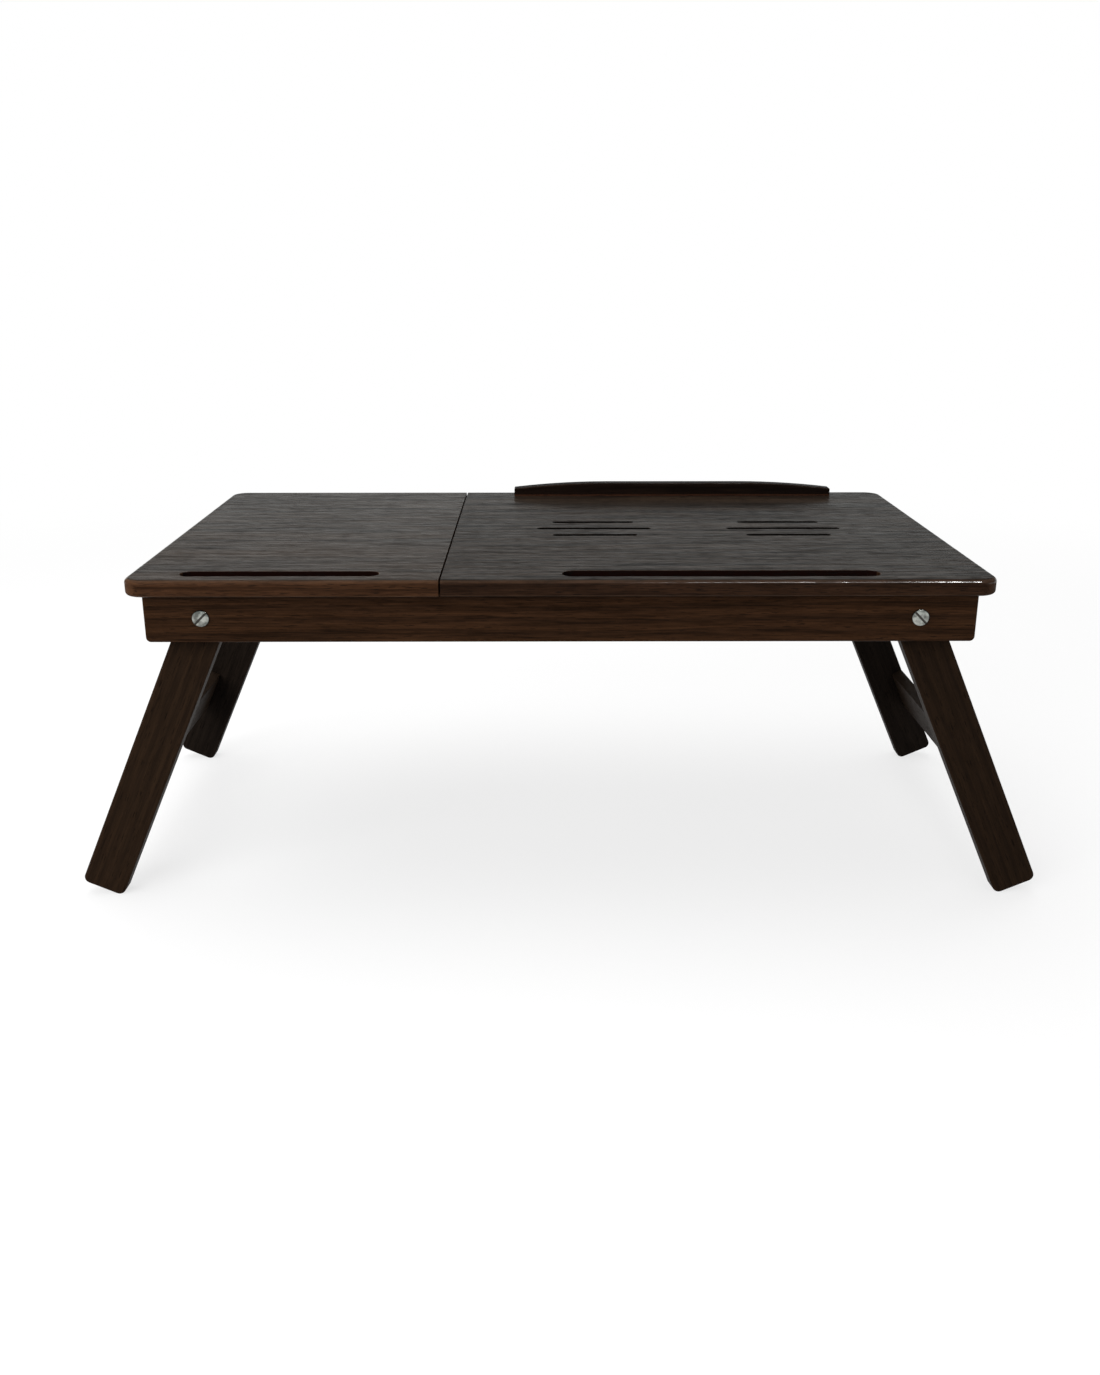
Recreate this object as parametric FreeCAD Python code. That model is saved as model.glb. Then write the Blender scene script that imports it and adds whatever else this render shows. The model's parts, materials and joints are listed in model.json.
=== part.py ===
import FreeCAD, Part
import math
import os

# Low folding laptop table in stained wood, modelled in millimetres with +Z up.
# X runs along the table, Y from its front edge to its rear edge, and the origin is on the
# floor under the middle of the top. The legs are open and the tilting panel lies flat.
# A wooden box frame of four rails and a notched centre rail carries the top. The top is a
# fixed panel on the left and a panel on the right that tilts up on two rear hinges, with a
# wire bail under it whose foot runs along the notches of the centre rail. Two leg frames
# swing inwards on slotted bolts and lie flat inside the box frame.

Vector = FreeCAD.Vector

# The whole table
table_depth = 350.0
table_height = 250.0

# Clearances: between pieces that move past each other, in a turning fit, round glued
# dowels and screws, the overrun of a cut past the face that it opens, and how far a point may
# lie from a plane and still count as on it
move_gap = 0.3
turning_gap = 0.05
seat_gap = 0.05
overrun = 1.0
plane_tolerance = 1e-6

# The top: two boards side by side with a saw gap between them
top_thickness = 12.0
top_corner_round = 14.0
top_edge_round = 3.4
top_under_round = 2.6
fixed_panel_length = 216.4
tilting_panel_length = 382.4
seam_gap = 1.2

# The long holder groove near the front edge of each panel, with round ends
fixed_groove_width = 14.5
tilt_groove_width = 17.5
groove_depth = 7.0
groove_middle_from_front = 20.75
groove_rim_round = 0.5
fixed_groove_length = 138.0
fixed_groove_from_left = 36.0
tilt_groove_length = 221.0
tilt_groove_offset = 2.5

# Two groups of three air slots through the tilting panel
vent_width = 7.0
vent_long = 92.0
vent_short = 67.0
vent_row_pitch = 26.0
vent_from_front = 178.0
vent_group_pitch = 153.0
vent_offset = -3.7

# The stop strip on the tilting panel, with an arched top
stop_length = 290.0
stop_offset = -2.5
stop_thickness = 12.0
stop_height = 11.5
stop_end_height = 6.5
stop_flat_length = 120.0
stop_from_rear = 8.0
stop_edge_round = 0.9
stop_screw_pitch = 110.0
stop_screw_bite = 7.0

# The box frame
rail_height = 35.0
rail_thickness = 14.0
front_overhang = 12.0
rail_corner_round = 3.5
rail_edge_round = 1.6
centre_rail_thickness = 15.0
centre_rail_from_seam = 82.4
batten_width = 26.0
batten_thickness = 10.0

# The leg frames. The splay is the angle from upright when a leg rests on its end rail.
pivot_from_end = 50.2
leg_splay = 24.0
leg_width = 32.0
leg_thickness = 15.0
leg_foot_round = 5.0
leg_edge_round = 1.4
stretcher_width = 35.0
stretcher_thickness = 10.0
stretcher_from_pivot = 169.0
stretcher_tenon = 5.0
stretcher_edge_round = 1.0

# The pivot bolts, with a slotted head, washers on both faces of the leg and a hexagon nut
bolt_radius = 3.0
bolt_head_radius = 6.0
bolt_head_height = 1.7
bolt_head_round = 0.9
bolt_slot_width = 1.5
bolt_slot_depth = 0.8
bolt_slot_angle = 45.0
washer_radius = 6.0
washer_thickness = 1.2
nut_sides = 6
nut_across_flats = 10.0
nut_thickness = 5.0
bolt_beyond_nut = 2.0

# Dowels of the glued joints
dowel_radius = 3.0
corner_dowel_in_rail = 8.0
corner_dowel_in_end = 18.0
centre_dowel_in_end = 14.0
dowel_pitch = 16.0
panel_dowel_in_panel = 7.0
panel_dowel_in_rail = 9.0
panel_dowel_from_seam = 24.0
panel_dowel_beside_groove = 7.0

# The two butt hinges behind the tilting panel
hinge_length = 40.0
hinge_barrel_radius = 2.5
hinge_pin_radius = 1.25
hinge_leaf_thickness = 1.2
hinge_leaf_depth = 12.0
hinge_from_panel_end = 50.0
hinge_screw_pitch = 22.0
hinge_knuckles = 3

# Wood screws: shank radius, head radius and length under the head's face
screw_radius = 1.4
screw_head_radius = 2.7
screw_head_height = 1.5
screw_length = 8.5
screw_tip_length = 2.0

# The wire bail that props the tilting panel, its saddles and the notches for its foot
tilt_limit = 34.0
notch_tilts = (15.0, 22.0, 28.0, tilt_limit)
wire_radius = 2.5
wire_under_panel = 0.5
bail_half_width = 22.0
bail_foot_bend = 8.0
bail_axle_bend = 5.0
bail_axle_length = 10.0
bail_length = 122.8
saddle_width = 8.0
saddle_thickness = 1.2
saddle_ear = 6.4
notch_depth = 2.0
notch_run_in = 5.0

# Places worked out from the sizes above
table_length = fixed_panel_length + seam_gap + tilting_panel_length
front_y = -table_depth / 2
rear_y = table_depth / 2
left_x = -table_length / 2
right_x = table_length / 2
rail_top = table_height - top_thickness
rail_bottom = rail_top - rail_height
rail_front_y = front_y + front_overhang
rail_rear_y = rear_y - front_overhang
seam_left_x = left_x + fixed_panel_length
seam_right_x = seam_left_x + seam_gap
tilt_under = rail_top + move_gap
tilt_middle_x = seam_right_x + tilting_panel_length / 2
centre_x = seam_right_x + centre_rail_from_seam
pivot_from_middle = table_length / 2 - pivot_from_end
pivot_z = rail_bottom + rail_height / 2

splay = math.radians(leg_splay)
leg_half = leg_width / 2
end_inner_x = pivot_from_middle + leg_half / math.cos(splay) + rail_height / 2 * math.tan(splay) + move_gap
end_outer_x = end_inner_x + rail_thickness
foot_arm = leg_half - leg_foot_round
foot_drop = pivot_z - leg_foot_round - foot_arm * math.sin(splay)
leg_reach = foot_drop / math.cos(splay) + leg_foot_round

leg_outer_y = rail_thickness + washer_thickness + turning_gap
leg_inner_y = leg_outer_y + leg_thickness
inner_washer_y = leg_inner_y + turning_gap
nut_y = inner_washer_y + washer_thickness

hinge_y = rail_rear_y + hinge_barrel_radius + move_gap
hinge_z = rail_top - hinge_barrel_radius
hinge_middles = (seam_right_x + hinge_from_panel_end, right_x - hinge_from_panel_end)

axle_y = hinge_y - bail_length
axle_z = tilt_under - wire_under_panel - wire_radius
foot_y = axle_y - bail_length
foot_bottom = axle_z - wire_radius - move_gap


def box(low, high):
    """A block between two corners."""
    size = high - low
    return Part.makeBox(size.x, size.y, size.z, low)


def rod(radius, start, end):
    """A round bar between two points."""
    along = end - start
    return Part.makeCylinder(radius, along.Length, start, along)


def prism(points, depth):
    """A flat outline through the points, pushed along the vector depth."""
    return Part.Face(Part.makePolygon(points + points[:1])).extrude(depth)


def joined(shapes):
    """One solid made of the shapes, without the seams between flush faces."""
    return shapes[0].multiFuse(shapes[1:]).removeSplitter()


def edges_where(shape, test):
    """The edges whose two ends and middle all pass the test."""
    found = []
    for edge in shape.Edges:
        middle = edge.valueAt((edge.FirstParameter + edge.LastParameter) / 2)
        points = [vertex.Point for vertex in edge.Vertexes] + [middle]
        if all(test(point) for point in points):
            found.append(edge)
    return found


def level(value, target):
    """True where a coordinate lies on a plane, within modelling precision."""
    return abs(value - target) < plane_tolerance


def slot(length, width, low, height):
    """A bar with half-round ends, along X, whose lower middle is the point low."""
    radius = width / 2
    reach = length / 2 - radius
    left = Vector(low.x - reach, low.y, low.z)
    right = Vector(low.x + reach, low.y, low.z)
    up = Vector(0, 0, height)
    bar = box(Vector(left.x, low.y - radius, low.z), Vector(right.x, low.y + radius, low.z + height))
    return joined([bar, rod(radius, left, left + up), rod(radius, right, right + up)])


def screw(seat, direction, length):
    """A countersunk wood screw: the face of its head lies at seat and it points along direction."""
    tip_start = length - screw_tip_length
    head = Part.makeCone(screw_head_radius, screw_radius, screw_head_height, seat, direction)
    shank = Part.makeCylinder(screw_radius, tip_start, seat, direction)
    tip = Part.makeCone(screw_radius, 0, screw_tip_length, seat + direction * tip_start, direction)
    return joined([head, shank, tip])


def screw_hole(seat, direction, length):
    """The room that a screw takes, with the seat gap all round it."""
    wide = screw_head_radius + seat_gap
    narrow = screw_radius + seat_gap
    head = Part.makeCone(wide, narrow, screw_head_height, seat, direction)
    shank = Part.makeCylinder(narrow, length + seat_gap, seat, direction)
    mouth = Part.makeCylinder(wide, overrun, seat, direction * -1)
    return joined([head, shank, mouth])


def board(low, high, round_corners):
    """A top board with softened edges; round_corners says which of its ends in X are rounded."""
    shape = box(low, high)

    def corner(point):
        on_end = any(level(point.x, x) for x in round_corners)
        return on_end and (level(point.y, low.y) or level(point.y, high.y))

    shape = shape.makeFillet(top_corner_round, edges_where(shape, corner))
    outer = [x for x in (low.x, high.x) if not any(level(x, other) for other in round_corners)]

    def rim(z):
        return edges_where(shape, lambda p: level(p.z, z))

    def not_seam(edge):
        return not all(any(level(v.Point.x, x) for x in outer) for v in edge.Vertexes)

    shape = shape.makeFillet(top_edge_round, [edge for edge in rim(high.z) if not_seam(edge)])
    return shape.makeFillet(top_under_round, [edge for edge in rim(low.z) if not_seam(edge)])


def with_groove(panel, middle_x, length, width):
    """Cuts a holder groove into a panel and softens its rim."""
    middle_y = front_y + groove_middle_from_front
    floor = Vector(middle_x, middle_y, table_height - groove_depth)
    cut = panel.cut(slot(length, width, floor, groove_depth + overrun))
    reach = width / 2 + move_gap

    def rim(point):
        near = abs(point.y - middle_y) < reach and abs(point.x - middle_x) < length / 2 + move_gap
        return near and level(point.z, table_height)

    return cut.makeFillet(groove_rim_round, edges_where(cut, rim))


def rail_dowel_places():
    """Places of the dowels between the fixed panel and the long rails.

    The front ones stand beside the groove, and the rear rail has one more between them.
    """
    inner = rail_thickness / 2
    first = left_x + fixed_groove_from_left - panel_dowel_beside_groove
    last = seam_left_x - panel_dowel_from_seam
    front = [Vector(x, rail_front_y + inner, rail_top) for x in (first, last)]
    rear = [Vector(x, rail_rear_y - inner, rail_top) for x in (first, (first + last) / 2, last)]
    return front + rear


def panel_dowel(place, extra):
    """A dowel that stands in a long rail and in the fixed panel."""
    low = place - Vector(0, 0, panel_dowel_in_rail + extra)
    high = place + Vector(0, 0, panel_dowel_in_panel + extra)
    return rod(dowel_radius + extra, low, high)


def end_dowel(side, end, step, extra):
    """A dowel that joins a long rail to an end rail."""
    face_y = end * (table_depth / 2 - front_overhang - rail_thickness)
    x = side * (end_inner_x + rail_thickness / 2)
    z = pivot_z + step * dowel_pitch / 2
    start = Vector(x, face_y + end * (corner_dowel_in_rail + extra), z)
    stop = Vector(x, face_y - end * (corner_dowel_in_end + extra), z)
    return rod(dowel_radius + extra, start, stop)


def centre_dowel(end, step, extra):
    """A dowel that joins a long rail to the centre rail."""
    face_y = end * (table_depth / 2 - front_overhang - rail_thickness)
    z = pivot_z + step * dowel_pitch / 2
    start = Vector(centre_x, face_y + end * (corner_dowel_in_rail + extra), z)
    stop = Vector(centre_x, face_y - end * (centre_dowel_in_end + extra), z)
    return rod(dowel_radius + extra, start, stop)


def fixed_panel():
    """The left board of the top, glued and dowelled to the frame."""
    low = Vector(left_x, front_y, rail_top)
    high = Vector(seam_left_x, rear_y, table_height)
    panel = board(low, high, (left_x,))
    middle = left_x + fixed_groove_from_left + fixed_groove_length / 2
    panel = with_groove(panel, middle, fixed_groove_length, fixed_groove_width)
    for place in rail_dowel_places():
        panel = panel.cut(panel_dowel(place, seat_gap))
    return panel


def vent_middles():
    """Middles and lengths of the air slots: a long one between two short ones in each group."""
    places = []
    for group in (-1, 1):
        x = tilt_middle_x + vent_offset + group * vent_group_pitch / 2
        for row, length in ((-1, vent_short), (0, vent_long), (1, vent_short)):
            y = front_y + vent_from_front + row * vent_row_pitch
            places.append((Vector(x, y, tilt_under - overrun), length))
    return places


def stop_middle():
    """The point on the tilting panel under the middle of the stop strip."""
    return Vector(tilt_middle_x + stop_offset, rear_y - stop_from_rear - stop_thickness / 2, table_height)


def stop_screw_seats():
    """Where the screws of the stop strip start, in the underside of the panel."""
    middle = stop_middle()
    return [Vector(middle.x + step * stop_screw_pitch, middle.y, tilt_under) for step in (-1, 0, 1)]


def stop_screw_length():
    """Length of a screw that runs through the panel into the stop strip."""
    return table_height - tilt_under + stop_screw_bite


def panel_leaf_seats():
    """Where the screws of the upper hinge leaves start, in the lower face of the leaf."""
    y = rail_rear_y - hinge_leaf_depth / 2
    z = tilt_under - hinge_leaf_thickness
    return [Vector(x + s * hinge_screw_pitch / 2, y, z) for x in hinge_middles for s in (-1, 1)]


def rail_leaf_seats():
    """Where the screws of the lower hinge leaves start, in the upper face of the leaf."""
    y = rail_rear_y - hinge_leaf_depth / 2
    z = hinge_z - hinge_barrel_radius + hinge_leaf_thickness
    return [Vector(x + s * hinge_screw_pitch / 2, y, z) for x in hinge_middles for s in (-1, 1)]


def saddle_middles():
    """The points on the bail's axle in the middle of each saddle."""
    start = bail_half_width + bail_axle_bend
    x = start + bail_axle_length / 2
    return [Vector(centre_x + side * x, axle_y, axle_z) for side in (-1, 1)]


def saddle_screw_seats():
    """Where the screws of the saddles start, in the lower face of their ears."""
    arch = wire_radius + turning_gap + saddle_thickness
    step = arch + saddle_ear / 2
    z = tilt_under - saddle_thickness
    return [Vector(m.x, m.y + s * step, z) for m in saddle_middles() for s in (-1, 1)]


def tilting_panel():
    """The right board of the top, with its groove, air slots and screw holes."""
    low = Vector(seam_right_x, front_y, tilt_under)
    high = Vector(right_x, rear_y, table_height)
    panel = board(low, high, (right_x,))
    middle = tilt_middle_x + tilt_groove_offset
    panel = with_groove(panel, middle, tilt_groove_length, tilt_groove_width)
    for place, length in vent_middles():
        panel = panel.cut(slot(length, vent_width, place, top_thickness + overrun * 2))
    up = Vector(0, 0, 1)
    for seat in stop_screw_seats():
        panel = panel.cut(screw_hole(seat, up, stop_screw_length()))
    for seat in panel_leaf_seats() + saddle_screw_seats():
        panel = panel.cut(screw_hole(seat, up, screw_length))
    return panel


def stop_strip():
    """The strip that stops a laptop or book: flat in the middle, falling in arcs to its ends."""
    middle = stop_middle()
    half = stop_length / 2
    flat = stop_flat_length / 2
    fall = stop_height - stop_end_height
    run = half - flat
    radius = (run * run + fall * fall) / (2 * fall)
    turn = math.asin(run / radius) / 2
    y = middle.y - stop_thickness / 2

    def point(x, z):
        return Vector(middle.x + x, y, middle.z + z)

    edges = []
    for side in (-1, 1):
        end = point(side * half, stop_end_height)
        via_x = side * (flat + radius * math.sin(turn))
        via = point(via_x, stop_height - radius * (1 - math.cos(turn)))
        edges.append(Part.Arc(end, via, point(side * flat, stop_height)).toShape())
        edges.append(Part.makeLine(point(side * half, 0), end))
    edges.append(Part.makeLine(point(-flat, stop_height), point(flat, stop_height)))
    edges.append(Part.makeLine(point(-half, 0), point(half, 0)))
    outline = Part.Wire(Part.__sortEdges__(edges))
    strip = Part.Face(outline).extrude(Vector(0, stop_thickness, 0))
    above = middle.z + move_gap
    strip = strip.makeFillet(stop_edge_round, edges_where(strip, lambda p: p.z > above))
    for seat in stop_screw_seats():
        strip = strip.cut(screw_hole(seat, Vector(0, 0, 1), stop_screw_length()))
    return strip


def long_rail(end):
    """A rail under the front (end -1) or rear (end 1) edge, with rounded lower corners."""
    outer_y = end * (table_depth / 2 - front_overhang)
    inner_y = outer_y - end * rail_thickness
    low = Vector(-end_outer_x, min(outer_y, inner_y), rail_bottom)
    high = Vector(end_outer_x, max(outer_y, inner_y), rail_top)
    rail = box(low, high)

    def lower_corner(point):
        return level(abs(point.x), end_outer_x) and level(point.z, rail_bottom)

    rail = rail.makeFillet(rail_corner_round, edges_where(rail, lower_corner))

    def outer_rim(edge):
        on_face = all(level(v.Point.y, outer_y) for v in edge.Vertexes)
        return on_face and not all(level(v.Point.z, rail_top) for v in edge.Vertexes)

    rail = rail.makeFillet(rail_edge_round, [edge for edge in rail.Edges if outer_rim(edge)])
    for side in (-1, 1):
        axis = Vector(side * pivot_from_middle, outer_y, pivot_z)
        bolt_hole = rod(bolt_radius + seat_gap, axis, Vector(axis.x, inner_y, axis.z))
        rail = rail.cut(bolt_hole)
        for step in (-1, 1):
            rail = rail.cut(end_dowel(side, end, step, seat_gap))
    for step in (-1, 1):
        rail = rail.cut(centre_dowel(end, step, seat_gap))
    for place in rail_dowel_places():
        if place.y * end > 0:
            rail = rail.cut(panel_dowel(place, seat_gap))
    return rail


def rear_rail():
    """The rear rail, with a mortise for each lower hinge leaf."""
    rail = long_rail(1)
    for x in hinge_middles:
        half = hinge_length / 2 + move_gap
        leaf_y = rail_rear_y - hinge_leaf_depth - move_gap
        low = Vector(x - half, leaf_y, hinge_z - hinge_barrel_radius)
        high = Vector(x + half, rail_rear_y + overrun, rail_top + overrun)
        rail = rail.cut(box(low, high))
    for seat in rail_leaf_seats():
        rail = rail.cut(screw_hole(seat, Vector(0, 0, -1), screw_length))
    return rail


def end_rail(side):
    """A short rail between the long ones. The leg frame rests on its lower inner edge."""
    inner = table_depth / 2 - front_overhang - rail_thickness
    xs = sorted((side * end_inner_x, side * end_outer_x))
    rail = box(Vector(xs[0], -inner, rail_bottom), Vector(xs[1], inner, rail_top))

    def outer_edge(point):
        return level(point.x, side * end_outer_x) and level(point.z, rail_bottom)

    rail = rail.makeFillet(rail_edge_round, edges_where(rail, outer_edge))
    for end in (-1, 1):
        for step in (-1, 1):
            rail = rail.cut(end_dowel(side, end, step, seat_gap))
    return rail


def foot_place(tilt):
    """Y of the bail's foot when the panel is tilted by that many degrees."""
    return hinge_y - 2 * bail_length * math.cos(math.radians(tilt))


def centre_rail():
    """The cross rail under the tilting panel, notched for the foot of the wire bail.

    The bail is as long as its axle is far from the hinge, so its foot runs level along the
    rail. Each notch has an upright wall in front of the foot and a ramp behind it.
    """
    inner = table_depth / 2 - front_overhang - rail_thickness
    left = centre_x - centre_rail_thickness / 2
    right = centre_x + centre_rail_thickness / 2
    rail = box(Vector(left, -inner, rail_bottom), Vector(right, inner, rail_top))
    start = foot_y - wire_radius - notch_run_in
    walls = [foot_place(tilt) - wire_radius - move_gap for tilt in notch_tilts]
    stop = walls[-1] + wire_radius * 2 + notch_depth + notch_run_in
    profile = [(start, rail_top + overrun), (start, foot_bottom)]
    for wall, following in zip(walls, walls[1:] + [stop]):
        floor_end = wall + wire_radius * 2 + move_gap
        ramp_end = min(floor_end + notch_depth, (floor_end + following) / 2)
        profile += [(wall, foot_bottom), (wall, foot_bottom - notch_depth)]
        profile += [(floor_end, foot_bottom - notch_depth), (ramp_end, foot_bottom)]
    profile += [(stop, foot_bottom), (stop, rail_top + overrun)]
    points = [Vector(left - overrun, y, z) for y, z in profile]
    rail = rail.cut(prism(points, Vector(centre_rail_thickness + overrun * 2, 0, 0)))
    for end in (-1, 1):
        for step in (-1, 1):
            rail = rail.cut(centre_dowel(end, step, seat_gap))
    return rail


def seam_batten():
    """A batten glued under the fixed panel, on whose free half the tilting panel lies."""
    reach = table_depth / 2 - front_overhang - nut_y - nut_thickness
    middle = (seam_left_x + seam_right_x) / 2
    half = batten_width / 2
    low = Vector(middle - half, -reach, rail_top - batten_thickness)
    batten = box(low, Vector(middle + half, reach, rail_top))
    return batten.makeFillet(rail_edge_round, edges_where(batten, lambda p: level(p.z, low.z)))


def in_leg_frame(shape, side):
    """Turns a shape drawn hanging straight down from the pivot out to the splay of one side."""
    turned = shape.copy()
    turned.rotate(Vector(0, 0, 0), Vector(0, 1, 0), -side * leg_splay)
    turned.translate(Vector(side * pivot_from_middle, 0, pivot_z))
    return turned


def stretcher_block(side, extra):
    """The stretcher of one side, drawn straight down, with the given extra all round."""
    outer = side * leg_half
    inner = outer - side * (stretcher_thickness + extra)
    xs = sorted((outer, inner))
    reach = table_depth / 2 - front_overhang - leg_inner_y + stretcher_tenon + extra
    half = stretcher_width / 2 + extra
    low = Vector(xs[0], -reach, -stretcher_from_pivot - half)
    return box(low, Vector(xs[1], reach, -stretcher_from_pivot + half))


def leg(side, end):
    """One leg: a straight board, half round at its pivot, with its foot corners rounded."""
    outer_y = end * (table_depth / 2 - front_overhang - leg_outer_y)
    inner_y = outer_y - end * leg_thickness
    ys = sorted((outer_y, inner_y))
    shank = box(Vector(-leg_half, ys[0], -leg_reach), Vector(leg_half, ys[1], 0))
    head = rod(leg_half, Vector(0, ys[0], 0), Vector(0, ys[1], 0))
    shape = joined([shank, head])
    foot = edges_where(shape, lambda p: level(p.z, -leg_reach) and level(abs(p.x), leg_half))
    shape = shape.makeFillet(leg_foot_round, foot)

    def face_edge(edge):
        return any(all(level(v.Point.y, y) for v in edge.Vertexes) for y in ys)

    shape = shape.makeFillet(leg_edge_round, [edge for edge in shape.Edges if face_edge(edge)])
    bore = rod(bolt_radius + turning_gap, Vector(0, ys[0], 0), Vector(0, ys[1], 0))
    shape = shape.cut(bore).cut(stretcher_block(side, seat_gap))
    return in_leg_frame(shape, side)


def stretcher(side):
    """The slat that ties a front leg to a rear leg, let into both."""
    shape = stretcher_block(side, 0)
    reach = shape.BoundBox.YMax
    long_edges = [edge for edge in shape.Edges if level(edge.Length, reach * 2)]
    return in_leg_frame(shape.makeFillet(stretcher_edge_round, long_edges), side)


def bolt_axes():
    """Side, end and the point on the rail's outer face of each pivot bolt."""
    outer_y = table_depth / 2 - front_overhang
    axes = []
    for side in (-1, 1):
        for end in (-1, 1):
            axes.append((side, end, Vector(side * pivot_from_middle, end * outer_y, pivot_z)))
    return axes


def pivot_bolt(side, end, face):
    """A bolt with a low round head and a screwdriver slot."""
    inward = Vector(0, -end, 0)
    length = nut_y + nut_thickness + bolt_beyond_nut
    head = Part.makeCylinder(bolt_head_radius, bolt_head_height, face, inward * -1)
    outer = face.y + end * bolt_head_height
    head = head.makeFillet(bolt_head_round, edges_where(head, lambda p: level(p.y, outer)))
    shape = joined([head, rod(bolt_radius, face, face + inward * length)])
    reach = bolt_head_radius + overrun
    half = bolt_slot_width / 2
    ys = sorted((outer - end * bolt_slot_depth, outer + end * overrun))
    blade = box(Vector(-reach, ys[0], -half), Vector(reach, ys[1], half))
    blade.rotate(Vector(0, 0, 0), Vector(0, 1, 0), side * bolt_slot_angle)
    blade.translate(Vector(face.x, 0, face.z))
    return shape.cut(blade)


def ring(face, end, start, thickness, radius):
    """A washer on a pivot bolt, start inside the rail's outer face."""
    inward = Vector(0, -end, 0)
    disc = Part.makeCylinder(radius, thickness, face + inward * start, inward)
    return disc.cut(Part.makeCylinder(bolt_radius + seat_gap, thickness, face + inward * start, inward))


def pivot_washers():
    """A washer between rail and leg and one between leg and nut, on each bolt."""
    rings = []
    for _, end, face in bolt_axes():
        for start in (rail_thickness, inner_washer_y):
            rings.append(ring(face, end, start, washer_thickness, washer_radius))
    return Part.makeCompound(rings)


def pivot_nut(face, end):
    """A hexagon nut with its corners chamfered to a cone."""
    inward = Vector(0, -end, 0)
    start = face + inward * nut_y
    corner = nut_across_flats / 2 / math.cos(math.pi / nut_sides)
    points = []
    for step in range(nut_sides):
        angle = math.tau * step / nut_sides
        points.append(start + Vector(corner * math.cos(angle), 0, corner * math.sin(angle)))
    nut = prism(points, inward * nut_thickness)
    flat = nut_across_flats / 2
    cone_height = nut_thickness + corner - flat
    cone = Part.makeCone(flat + cone_height, flat, cone_height, start, inward)
    cone.translate(inward * (nut_thickness - cone_height))
    bore = Part.makeCylinder(bolt_radius + seat_gap, nut_thickness, start, inward)
    return nut.common(cone).cut(bore)


def knuckle_spans():
    """Start and end, along the hinge, of the knuckles, with the moving gap between them."""
    pitch = hinge_length / hinge_knuckles
    spans = []
    for index in range(hinge_knuckles):
        start = -hinge_length / 2 + index * pitch + (move_gap / 2 if index else 0)
        end = -hinge_length / 2 + (index + 1) * pitch - (move_gap / 2 if index + 1 < hinge_knuckles else 0)
        spans.append((start, end))
    return spans


def hinge_leaf(middle_x, leaf_low, picks):
    """A leaf with the picked knuckles rolled round the pin. leaf_low is the leaf's lower face."""
    half = hinge_length / 2
    leaf_high = leaf_low + hinge_leaf_thickness
    inner_y = rail_rear_y - hinge_leaf_depth
    pieces = [box(Vector(middle_x - half, inner_y, leaf_low), Vector(middle_x + half, rail_rear_y, leaf_high))]
    for start, end in [knuckle_spans()[index] for index in picks]:
        left = Vector(middle_x + start, hinge_y, hinge_z)
        right = Vector(middle_x + end, hinge_y, hinge_z)
        pieces.append(rod(hinge_barrel_radius, left, right))
        tab = box(Vector(left.x, rail_rear_y - hinge_leaf_thickness, leaf_low), Vector(right.x, hinge_y, leaf_high))
        pieces.append(tab)
    leaf = joined(pieces)
    reach = Vector(half + overrun, 0, 0)
    axis = Vector(middle_x, hinge_y, hinge_z)
    return leaf.cut(rod(hinge_pin_radius + turning_gap, axis - reach, axis + reach))


def rail_hinge_leaves():
    """The lower leaves, let into the rear rail, with the two outer knuckles."""
    leaves = []
    for x in hinge_middles:
        leaf = hinge_leaf(x, hinge_z - hinge_barrel_radius, (0, 2))
        for seat in rail_leaf_seats():
            leaf = leaf.cut(screw_hole(seat, Vector(0, 0, -1), screw_length))
        leaves.append(leaf)
    return Part.makeCompound(leaves)


def panel_hinge_leaves():
    """The upper leaves, under the tilting panel, with the middle knuckle."""
    leaves = []
    for x in hinge_middles:
        leaf = hinge_leaf(x, tilt_under - hinge_leaf_thickness, (1,))
        for seat in panel_leaf_seats():
            leaf = leaf.cut(screw_hole(seat, Vector(0, 0, 1), screw_length))
        leaves.append(leaf)
    return Part.makeCompound(leaves)


def hinge_pins():
    """The pins of the two hinges."""
    reach = Vector(hinge_length / 2, 0, 0)
    axes = [Vector(x, hinge_y, hinge_z) for x in hinge_middles]
    return Part.makeCompound([rod(hinge_pin_radius, axis - reach, axis + reach) for axis in axes])


def bend(corner, before, after, radius):
    """A rounded corner of the wire: where it starts and ends, and the arc between them."""
    start = corner + before * radius
    end = corner + after * radius
    centre = corner + (before + after) * radius
    inward = (corner - centre).normalize()
    return start, end, Part.Arc(start, centre + inward * radius, end).toShape()


def prop_bail():
    """A wire bent to a U, with its two ends turned out as axles."""
    out, forward = Vector(1, 0, 0), Vector(0, -1, 0)
    tip = bail_half_width + bail_axle_bend + bail_axle_length
    left_x_of_bail = centre_x - bail_half_width
    right_x_of_bail = centre_x + bail_half_width
    left_top = Vector(left_x_of_bail, axle_y, axle_z)
    left_foot = Vector(left_x_of_bail, foot_y, axle_z)
    right_foot = Vector(right_x_of_bail, foot_y, axle_z)
    right_top = Vector(right_x_of_bail, axle_y, axle_z)
    bends = [
        bend(left_top, out * -1, forward, bail_axle_bend),
        bend(left_foot, forward * -1, out, bail_foot_bend),
        bend(right_foot, out * -1, forward * -1, bail_foot_bend),
        bend(right_top, forward, out, bail_axle_bend),
    ]
    edges = []
    here = Vector(centre_x - tip, axle_y, axle_z)
    section_at = here
    for start, end, arc in bends:
        edges += [Part.makeLine(here, start), arc]
        here = end
    edges.append(Part.makeLine(here, Vector(centre_x + tip, axle_y, axle_z)))
    section = Part.Wire(Part.makeCircle(wire_radius, section_at, out))
    return Part.Wire(edges).makePipeShell([section], True, False)


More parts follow.
